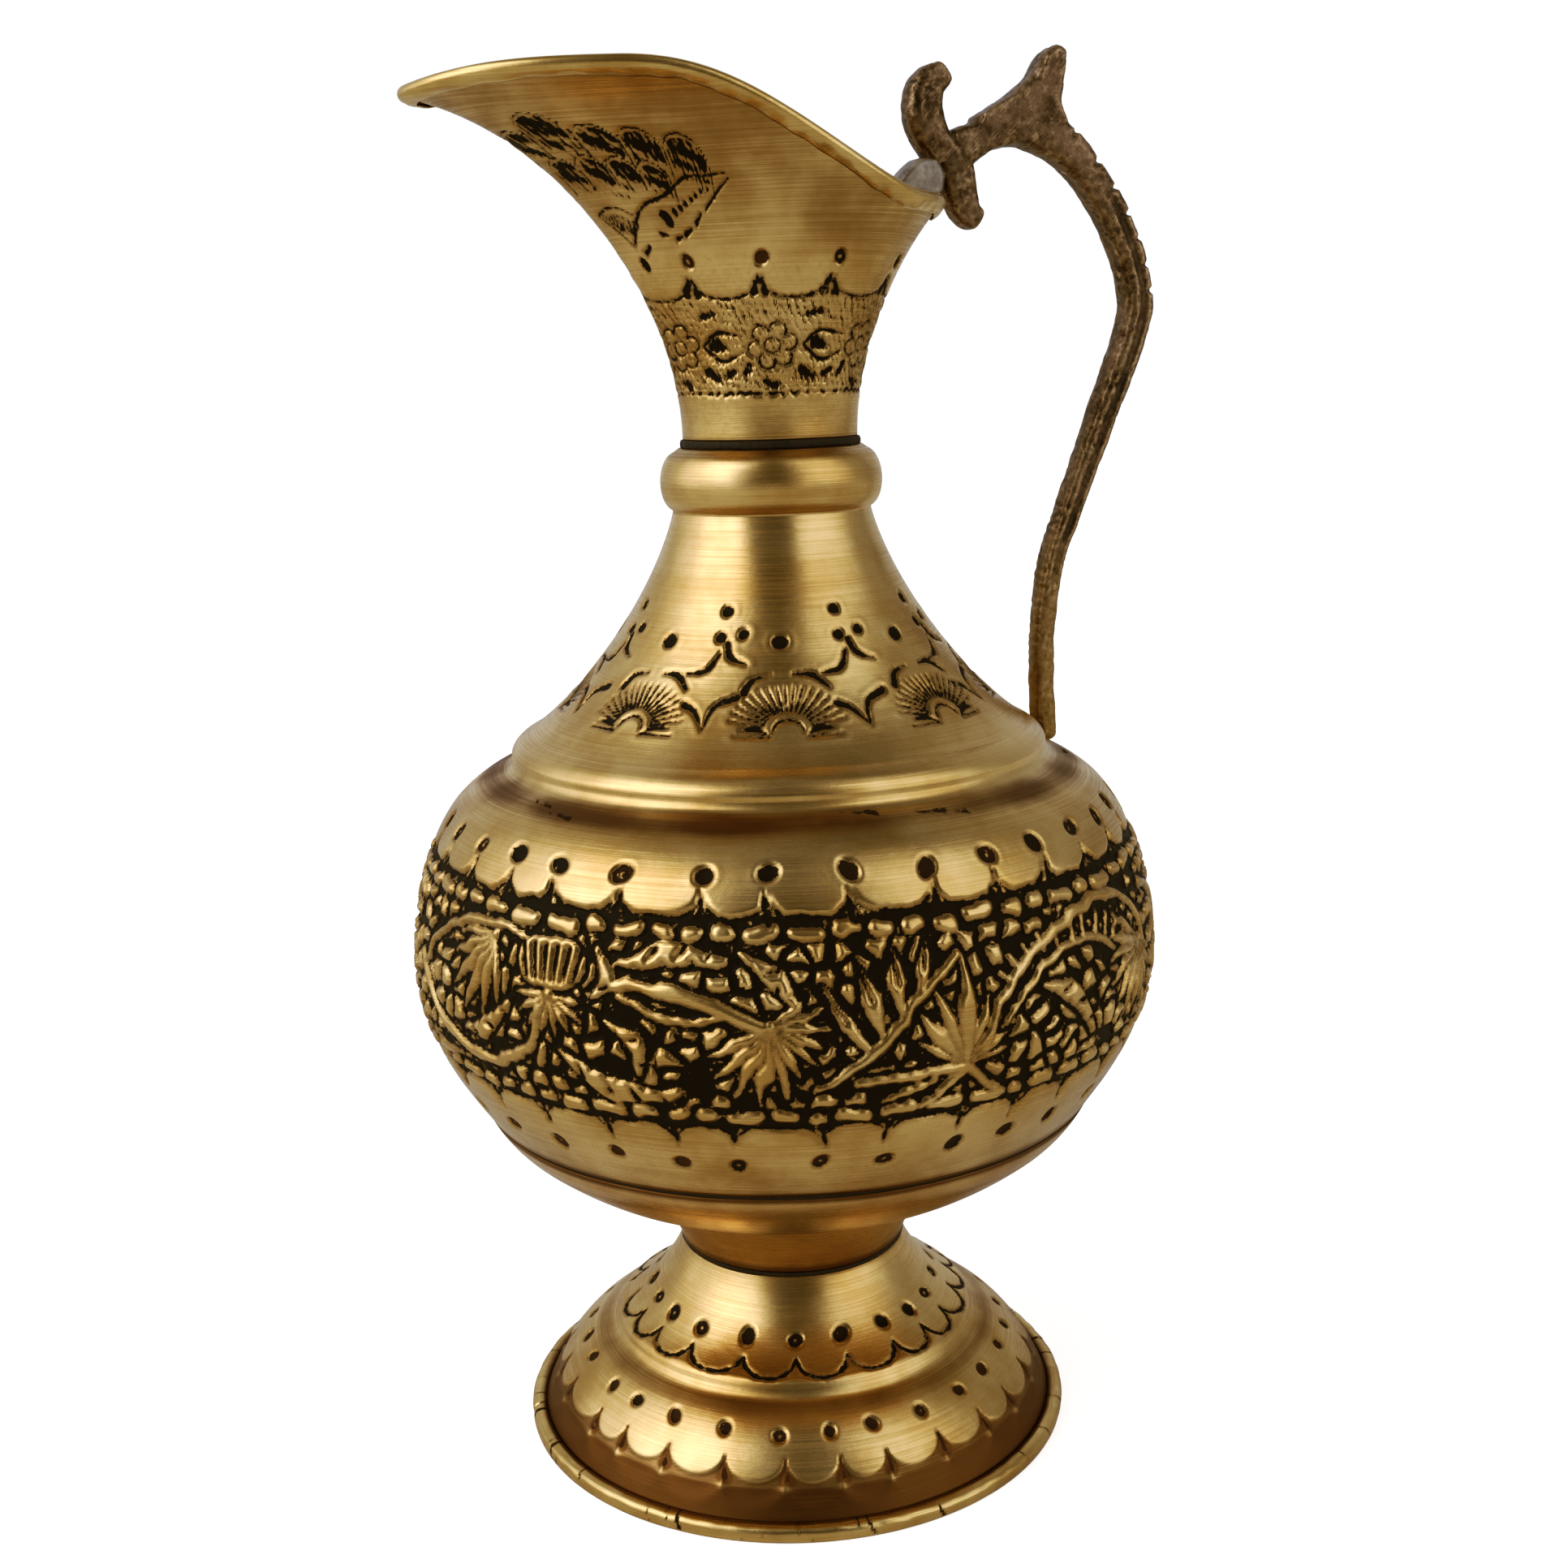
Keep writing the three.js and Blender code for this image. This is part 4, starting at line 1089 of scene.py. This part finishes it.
def roughen(mesh, seed):
    """Casting skin: lumps and small pits along the surface normals."""
    offset = Vector((seed, 0, 0))
    for vertex in mesh.vertices:
        place = vertex.co / MM
        lump = noise.noise(place * 0.22 + offset) * 0.22 + noise.noise(place * 0.7 + offset) * 0.12
        pit = noise.noise(place * 1.5 - offset)
        vertex.co += vertex.normal * (lump - 0.22 * max(0, pit - 0.25) / 0.5) * MM
    mesh.update()


def rim_tab(material):
    """The solder-dressed tab that hooks over the mouth's edge."""
    outline = [(35.4, 240.2), (35.8, 243.6), (34.0, 246.4), (30.2, 246.2), (28.0, 244.6), (25.2, 241.6),
               (23.6, 238.2), (22.8, 233.6), (23.6, 229.8), (24.9, 230.7), (27.0, 233.4), (29.5, 236.4),
               (31.6, 239.0)]
    points, faces = plate_solid(outline, 6.4, 0.9)
    piece = make_mixed("rim_tab", points, faces, material)
    bevel = piece.modifiers.new("soft", "BEVEL")
    bevel.width = 0.6 * MM
    bevel.segments = 3
    bevel.limit_method = "ANGLE"
    piece.modifiers.new("fine", "SUBSURF").levels = 2
    mesh = bpy.data.meshes.new_from_object(piece.evaluated_get(bpy.context.evaluated_depsgraph_get()))
    piece.modifiers.clear()
    piece.data = mesh
    return piece


# ---- Materials ------------------------------------------------------------------------------------


class Nodes:
    """A short way to wire up a material's nodes."""

    def __init__(self, name):
        self.material = bpy.data.materials.new(name)
        self.material.use_nodes = True
        self.tree = self.material.node_tree
        self.shader = self.tree.nodes["Principled BSDF"]

    def add(self, kind, inputs=None, **settings):
        node = self.tree.nodes.new(kind)
        for key, value in settings.items():
            setattr(node, key, value)
        for key, value in (inputs or {}).items():
            self.feed(node.inputs[key], value)
        return node

    def feed(self, socket, value):
        if isinstance(value, bpy.types.NodeSocket):
            self.tree.links.new(value, socket)
        else:
            socket.default_value = value

    def field(self, name, part="Fac"):
        return self.add("ShaderNodeAttribute", attribute_name=name).outputs[part]

    def math(self, operation, a, b=0.0, c=0.0, clamp=False):
        node = self.add("ShaderNodeMath", operation=operation, use_clamp=clamp)
        for socket, value in zip(node.inputs, (a, b, c)):
            self.feed(socket, value)
        return node.outputs[0]

    def ramp(self, value, low, high, to_low=0.0, to_high=1.0):
        node = self.add("ShaderNodeMapRange", {"Value": value, "From Min": low, "From Max": high,
                                               "To Min": to_low, "To Max": to_high},
                        interpolation_type="SMOOTHSTEP")
        return node.outputs["Result"]

    def mix(self, share, a, b):
        node = self.add("ShaderNodeMix", data_type="RGBA")
        self.feed(node.inputs["Factor"], share)
        self.feed(node.inputs["A"], a)
        self.feed(node.inputs["B"], b)
        return node.outputs["Result"]

    def noise(self, vector, scale, detail=3.0, roughness=0.55):
        node = self.add("ShaderNodeTexNoise", {"Vector": vector, "Scale": scale, "Detail": detail,
                                               "Roughness": roughness})
        return node.outputs["Fac"]

    def stretched(self, vector, scale):
        node = self.add("ShaderNodeMapping", {"Vector": vector, "Scale": scale})
        return node.outputs["Vector"]

    def bump(self, height, strength, distance, normal=None):
        node = self.add("ShaderNodeBump", {"Height": height, "Strength": strength, "Distance": distance})
        if normal is not None:
            self.feed(node.inputs["Normal"], normal)
        return node.outputs["Normal"]

    def set(self, **sockets):
        names = {"color": "Base Color", "metal": "Metallic", "rough": "Roughness", "normal": "Normal",
                 "aniso": "Anisotropic", "tangent": "Tangent", "specular": "Specular IOR Level"}
        for key, value in sockets.items():
            self.feed(self.shader.inputs[names[key]], value)
        return self.material


def rgb(red, green, blue):
    """A colour from 0 to 255 screen values, as linear light."""
    linear = [((c / 255 + 0.055) / 1.055) ** 2.4 if c > 10 else c / 255 / 12.92
              for c in (red, green, blue)]
    return (*linear, 1.0)


def old_brass(name, bright, dull, brown, brush=0.36):
    """Scoured, blackened brass: brushed round the pot, browned in its hollows and where shade is painted, black
    where it is cut.
    """
    n = Nodes(name)
    lay = n.field("lay", "Vector")
    place = n.add("ShaderNodeTexCoord").outputs["Object"]
    streaks = n.noise(n.stretched(lay, (0.03, 0.03, 5.0)), 1.0, 4.0, 0.65)
    fine = n.noise(n.stretched(lay, (0.1, 0.1, 14.0)), 1.0, 2.0, 0.6)
    cloud = n.noise(place, 55.0, 4.0, 0.6)
    grain = n.noise(place, 900.0, 3.0, 0.7)
    speck = n.noise(place, 420.0, 2.0, 0.6)
    brassy = n.mix(n.ramp(n.math("ADD", n.math("MULTIPLY", cloud, 0.6), n.math("MULTIPLY", streaks, 0.4)),
                          0.38, 0.64), bright, dull)
    patchy = n.math("ADD", n.math("MULTIPLY", cloud, 0.6), n.math("MULTIPLY", streaks, 0.4))
    # The tarnish field also carries painted shade: a dark reflection in the cove under the shoulder's bead and a
    # shadow along the hem's lower edge.
    tarnish_and_shade = n.math("ADD", n.field("tarnish_and_shade"), n.math("MULTIPLY", n.math("SUBTRACT", patchy, 0.5), 0.9))
    brown_share = n.ramp(tarnish_and_shade, 0.12, 1.0)
    ink = n.math("ADD", n.field("ink"), n.math("MULTIPLY", n.math("SUBTRACT", grain, 0.5), 0.9))
    halo = n.math("MULTIPLY", n.ramp(ink, -0.75, 0.1), 0.55)
    aged = n.mix(n.math("MAXIMUM", brown_share, halo), brassy, brown)
    cut = n.ramp(ink, -0.06, 0.12)
    glint = n.math("MULTIPLY", cut, n.ramp(speck, 0.66, 0.72))
    black = n.mix(n.field("paint"), rgb(92, 58, 34), rgb(24, 19, 17))
    filled = n.math("SUBTRACT", cut, glint, clamp=True)
    color = n.mix(filled, aged, black)
    metal = n.math("SUBTRACT", 1.0, n.math("MULTIPLY", filled, 0.9), clamp=True)
    rough = n.math("ADD", n.ramp(streaks, 0.3, 0.7, 0.21, 0.31), n.math("MULTIPLY", filled, 0.22))
    rough = n.math("ADD", rough, n.math("MULTIPLY", brown_share, 0.15))
    marks = n.math("ADD", n.math("MULTIPLY", streaks, 0.6), n.math("MULTIPLY", fine, 0.4))
    normal = n.bump(marks, brush, 0.00006)
    normal = n.bump(n.math("ADD", n.math("MULTIPLY", grain, n.math("ADD", n.math("MULTIPLY", filled, 3.0), 0.35)),
                           n.math("MULTIPLY", cloud, 0.8)), 0.5, 0.0001, normal)
    across = n.add("ShaderNodeVectorMath", {0: (0, 0, 1), 1: lay}, operation="CROSS_PRODUCT").outputs[0]
    return n.set(color=color, metal=metal, rough=rough, normal=normal, tangent=across, aniso=0.55,
                 specular=0.12)


def cast_bronze():
    """Rough dark bronze: brown hollows, rubbed edges and brassier low down."""
    n = Nodes("cast_bronze")
    place = n.add("ShaderNodeTexCoord").outputs["Object"]
    height = n.add("ShaderNodeSeparateXYZ", {"Vector": place}).outputs["Z"]
    point = n.add("ShaderNodeNewGeometry").outputs["Pointiness"]
    cloud = n.noise(place, 120.0, 5.0, 0.65)
    grain = n.noise(place, 700.0, 3.0, 0.7)
    worn = n.ramp(n.math("ADD", point, n.math("MULTIPLY", n.math("SUBTRACT", grain, 0.5), 0.12)), 0.49, 0.56)
    base = n.mix(n.ramp(cloud, 0.38, 0.62), rgb(66, 51, 42), rgb(120, 100, 84))
    low = n.ramp(height, 0.190, 0.140)
    base = n.mix(n.math("MULTIPLY", low, 0.6), base, rgb(170, 138, 84))
    rubbed = n.mix(n.math("MULTIPLY", worn, 0.7), base, rgb(196, 168, 134))
    hollow = n.ramp(n.math("ADD", point, n.math("MULTIPLY", n.math("SUBTRACT", cloud, 0.5), 0.08)), 0.50, 0.455)
    color = n.mix(n.math("MULTIPLY", hollow, 0.85), rubbed, rgb(30, 22, 18))
    metal = n.ramp(hollow, 0.0, 1.0, 0.95, 0.3)
    rough = n.ramp(cloud, 0.3, 0.7, 0.3, 0.44)
    normal = n.bump(n.math("ADD", n.math("MULTIPLY", cloud, 1.4), n.math("MULTIPLY", grain, 0.8)), 0.7, 0.00022)
    return n.set(color=color, metal=metal, rough=rough, normal=normal)


def solder(name, low, high, metal, rough):
    """A dull, lumpy joint filler."""
    n = Nodes(name)
    place = n.add("ShaderNodeTexCoord").outputs["Object"]
    cloud = n.noise(place, 260.0, 4.0, 0.65)
    color = n.mix(n.ramp(cloud, 0.35, 0.65), low, high)
    normal = n.bump(cloud, 0.8, 0.0003)
    return n.set(color=color, metal=metal, rough=n.ramp(cloud, 0.3, 0.7, rough, rough + 0.2), normal=normal)


# ---- The pot --------------------------------------------------------------------------------------
embossed = old_brass("embossed_brass", rgb(221, 189, 136), rgb(190, 153, 98), rgb(108, 74, 44))
plain = old_brass("plain_brass", rgb(216, 180, 126), rgb(184, 143, 92), rgb(106, 72, 42), 0.45)
rim = old_brass("rim_brass", rgb(220, 190, 136), rgb(190, 156, 102), rgb(92, 62, 40), 0.3)
bronze = cast_bronze()
black_solder = solder("black_solder", rgb(20, 17, 15), rgb(44, 36, 30), 0.2, 0.55)
grey_solder = solder("grey_solder", rgb(120, 112, 104), rgb(176, 166, 150), 0.9, 0.38)

COLUMNS = 1080


def body_outline():
    return chain(
        bezier((60.5, BODY_LOW[2] - 0.15), (66.6, 79.4), (BELLY_RADIUS, 88), (BELLY_RADIUS, BELLY_WIDEST)),
        bezier((BELLY_RADIUS, BELLY_WIDEST), (BELLY_RADIUS, 112), (67.5, 126), (60, SHOULDER_RIDGE)),
        bezier((60, SHOULDER_RIDGE), (57, 133.9), (54.2, 135)),
        bezier((54.2, 135), (SHOULDER_RADIUS - 0.6, 136), (SHOULDER_RADIUS, 138.3)),
        bezier((SHOULDER_RADIUS, 138.3), (51, 140.6), (47.3, CONE_BOTTOM)),
        bezier((47.3, CONE_BOTTOM), (33.5, 152), (21.5, 171.5), (CREASE_RADIUS, CREASE)),
        bezier((CREASE_RADIUS, CREASE), (21.8, 184.2), (21.8, 192.4), (18.3, 193.8)),
        bezier((18.3, 193.8), (NECK_RADIUS + 0.4, 194.2), (NECK_RADIUS, BODY_HIGH[2])))


def foot_outline():
    return chain(
        bezier((52.1, FLARE_LOW[2] - 1.4), (51.0, 4.4), (49.6, 7.6)),
        bezier((49.6, 7.6), (46.6, 12.2), (42.6, 16.0), (38.2, 18.2)),
        bezier((38.2, 18.2), (36.6, 18.9), (36.2, 20.4)),
        bezier((36.2, 20.4), (35.8, 21.6), (34.4, 22.1)),
        bezier((34.4, 22.1), (28.5, 25.5), (24.3, 31), (STEM_RADIUS, FLARE_HIGH[2] + 0.2)))


def plain_relief(tone):
    """A relief for plain sheet: only tarnish, heaviest at the given heights."""
    def relief(theta, s, z, r):
        height, ink, paint, tarnish_and_shade = blank_fields(theta, s)
        for level, reach, amount in tone:
            tarnish_and_shade = tarnish_and_shade + amount * np.exp(-((z - level) / reach) ** 2)
        return height, ink, paint, tarnish_and_shade
    return relief


coarse = 1
body_rows = resample(body_outline(), [(74, 1.0), (131, 0.46 * coarse), (143, 0.55), (174, 0.5 * coarse),
                                      (200, 0.45)])
body = spun("body", body_rows, COLUMNS, embossed, body_relief)
flare_rows = resample(foot_outline(), [(8, 0.5), (50, 0.42)])
flare = spun("foot", flare_rows, COLUMNS * 2 // 3, embossed, foot_relief)
stem_path = bezier((STEM_RADIUS + 0.1, STEM_LOW[2] - 0.55), (23.4, 41), (27, 45.2), (32.9, STEM_HIGH[2]))
stem_rows = resample(stem_path, [(80, 0.6)])
stem = spun("stem", stem_rows, 480, plain, plain_relief([(STEM_LOW[2], 1.4, 0.8), (STEM_HIGH[2], 1.6, 0.7)]))
pan_path = chain(bezier((0.3, PAN_LOW[2]), (16, PAN_LOW[2]), (33, PAN_LOW[2])),
                 bezier((33, PAN_LOW[2]), (40, 52.6), (48, 57.2), (54.5, 62.6)),
                 bezier((54.5, 62.6), (58, 65.4), (60.2, PAN_HIGH[2] + 0.3)))
pan_s = arc_length(pan_path)
pan_at = np.linspace(0, pan_s[-1], 110)
pan_rows = np.stack([np.interp(pan_at, pan_s, pan_path[:, k]) for k in (0, 1)], -1)
pan_stains = [(52.3, 0.8, 0.8), (PAN_HIGH[2], 1.0, 1.0), (64.6, 1.0, 0.35)]
pan = spun("pan", pan_rows, 540, plain, plain_relief(pan_stains))
spout = spout_funnel(embossed)
hem = mouth_rim(rim)
ring = foot_ring(rim)
stem_joint = solder_bead("stem_joint", STEM_RADIUS - 0.1, 36.2, 37.25, 0.3, black_solder, 91)
pan_joint = solder_bead("pan_joint", 33.2, 51.05, 52.05, 0.7, grey_solder, 92, 31.2)
seam_joint = solder_bead("seam_joint", 60.0, PAN_HIGH[2] + 0.35, BODY_LOW[2] - 0.2, 0.12, black_solder, 93,
                         59.2)
neck_joint = solder_bead("neck_joint", 16.6, 194.35, 196.0, 0.35, black_solder, 94, 15.5)
grip = handle(bronze)
tab = rim_tab(grey_solder)

for piece, node, slot in (
        (body, "body_shell", "embossed_brass"), (flare, "foot_flare", "embossed_brass"),
        (stem, "foot_stem", "plain_brass"), (pan, "base_pan", "plain_brass"),
        (spout, "spout_funnel", "embossed_brass"), (hem, "mouth_rim", "rim_brass"),
        (ring, "foot_rim_ring", "rim_brass"), (stem_joint, "stem_solder", "black_solder"),
        (pan_joint, "pan_solder", "grey_solder"), (seam_joint, "seam_solder", "black_solder"),
        (neck_joint, "neck_solder", "black_solder"), (grip, "handle", "cast_bronze"),
        (tab, "handle_rim_tab", "grey_solder")):
    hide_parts(node)

# ---- Floor, light and camera ----------------------------------------------------------------------


def floor():
    """A wide plain floor, nearly white."""
    sides, radius = 96, 6.0
    ring_points = [(radius * math.cos(2 * math.pi * k / sides), radius * math.sin(2 * math.pi * k / sides), 0)
                   for k in range(sides)]
    mesh = bpy.data.meshes.new("floor")
    mesh.from_pydata(ring_points, [], [tuple(range(sides))])
    ground = bpy.data.objects.new("floor", mesh)
    bpy.context.scene.collection.objects.link(ground)
    n = Nodes("floor")
    n.shader.inputs["Emission Color"].default_value = (1, 1, 1, 1)
    seen = n.add("ShaderNodeLightPath").outputs["Is Camera Ray"]
    n.tree.links.new(n.ramp(seen, 0.0, 1.0, 0.08, 0.62), n.shader.inputs["Emission Strength"])
    pale = n.mix(seen, rgb(216, 212, 204), rgb(252, 252, 252))
    mesh.materials.append(n.set(color=pale, rough=0.9, metal=0.0, specular=0.0))


def softbox(name, azimuth, elevation, distance, size, power):
    """A large soft light aimed at the pot: azimuth in degrees from the front, growing to the right."""
    lamp = bpy.data.lights.new(name, "AREA")
    lamp.shape = "RECTANGLE"
    lamp.size, lamp.size_y = size
    lamp.energy = power
    holder = bpy.data.objects.new(name, lamp)
    turn = FRONT + math.radians(azimuth)
    rise = math.radians(elevation)
    way = np.array([math.cos(turn) * math.cos(rise), math.sin(turn) * math.cos(rise), math.sin(rise)])
    holder.location = Vector(way * distance) + Vector((0, 0, 0.13))
    holder.rotation_euler = Vector(way).to_track_quat("Z", "Y").to_euler()
    bpy.context.scene.collection.objects.link(holder)


def studio():
    """A white surround with a darker wedge in front of the pot, as a photographer's black gap."""
    world = bpy.data.worlds.new("studio")
    bpy.context.scene.world = world
    world.use_nodes = True
    tree = world.node_tree
    background = tree.nodes["Background"]
    direction = tree.nodes.new("ShaderNodeTexCoord").outputs["Generated"]
    turned = tree.nodes.new("ShaderNodeVectorRotate")
    turned.rotation_type = "Z_AXIS"
    turned.inputs["Angle"].default_value = -FRONT
    tree.links.new(direction, turned.inputs["Vector"])
    parts = tree.nodes.new("ShaderNodeSeparateXYZ")
    tree.links.new(turned.outputs["Vector"], parts.inputs["Vector"])
    bearing = tree.nodes.new("ShaderNodeMath")
    bearing.operation = "ARCTAN2"
    tree.links.new(parts.outputs["Y"], bearing.inputs[0])
    tree.links.new(parts.outputs["X"], bearing.inputs[1])
    share = tree.nodes.new("ShaderNodeMapRange")
    share.inputs["From Min"].default_value = -math.pi
    share.inputs["From Max"].default_value = math.pi
    tree.links.new(bearing.outputs[0], share.inputs["Value"])
    ramp = tree.nodes.new("ShaderNodeValToRGB")
    tree.links.new(share.outputs["Result"], ramp.inputs["Fac"])
    stops = [(-180, 0.7), (-124, 0.5), (-110, 0.95), (-72, 1.35), (-42, 1.35), (-20, 0.1), (28, 0.08),
             (33, 1.3), (76, 1.1), (100, 0.3), (150, 0.5), (180, 0.7)]
    elements = ramp.color_ramp.elements
    while len(elements) < len(stops):
        elements.new(0.5)
    for element, (angle, level) in zip(elements, stops):
        element.position = (angle + 180) / 360
        element.color = (level, level, level, 1)
    rise = tree.nodes.new("ShaderNodeMapRange")
    rise.interpolation_type = "SMOOTHSTEP"
    for key, value in (("From Min", 0.80), ("From Max", 0.96), ("To Min", 1.0), ("To Max", 0.3)):
        rise.inputs[key].default_value = value
    tree.links.new(parts.outputs["Z"], rise.inputs["Value"])
    shade = tree.nodes.new("ShaderNodeVectorMath")
    shade.operation = "SCALE"
    tree.links.new(ramp.outputs["Color"], shade.inputs[0])
    tree.links.new(rise.outputs["Result"], shade.inputs["Scale"])
    lamp_path = tree.nodes.new("ShaderNodeLightPath")
    pick = tree.nodes.new("ShaderNodeMix")
    pick.data_type = "RGBA"
    tree.links.new(lamp_path.outputs["Is Camera Ray"], pick.inputs["Factor"])
    tree.links.new(shade.outputs["Vector"], pick.inputs["A"])
    pick.inputs["B"].default_value = (1, 1, 1, 1)
    tree.links.new(pick.outputs["Result"], background.inputs["Color"])
    background.inputs["Strength"].default_value = 1.0


def camera():
    """The camera stands 20 degrees round towards the spout, a little above the pot's middle."""
    azimuth, pitch, roll = math.radians(20), math.radians(12.33), math.radians(-1.6)
    lens = bpy.data.cameras.new("camera")
    lens.sensor_width = 36
    lens.lens = 42.97
    forward = Vector((math.cos(pitch) * math.sin(azimuth), math.cos(pitch) * math.cos(azimuth),
                      -math.sin(pitch)))
    level = Vector((math.cos(azimuth), -math.sin(azimuth), 0))
    upright = level.cross(forward)
    right = level * math.cos(roll) + upright * math.sin(roll)
    up = -level * math.sin(roll) + upright * math.cos(roll)
    view = bpy.data.objects.new("camera", lens)
    view.matrix_world = Matrix.Translation(Vector((AXIS_X - 121.4, -335.9, 207.4)) * MM) @ Matrix(
        (right, up, -forward)).transposed().to_4x4()
    bpy.context.scene.collection.objects.link(view)
    bpy.context.scene.camera = view


def develop():
    """A plain view with a gentle print contrast: darks a little warmer, highlights a little paler."""
    view = bpy.context.scene.view_settings
    view.view_transform = "Standard"
    view.use_curve_mapping = True
    for curve, points in zip(view.curve_mapping.curves, (((0.06, 0.045), (0.2, 0.17), (0.6, 0.62)),
                                                         ((0.05, 0.03), (0.16, 0.12), (0.4, 0.43)),
                                                         ((0.05, 0.018), (0.12, 0.075), (0.3, 0.34)))):
        for point in points:
            curve.points.new(*point)
    view.curve_mapping.update()


floor()
studio()
softbox("left_soft", -60, 34, 1.3, (1.0, 1.0), 3)
camera()
develop()
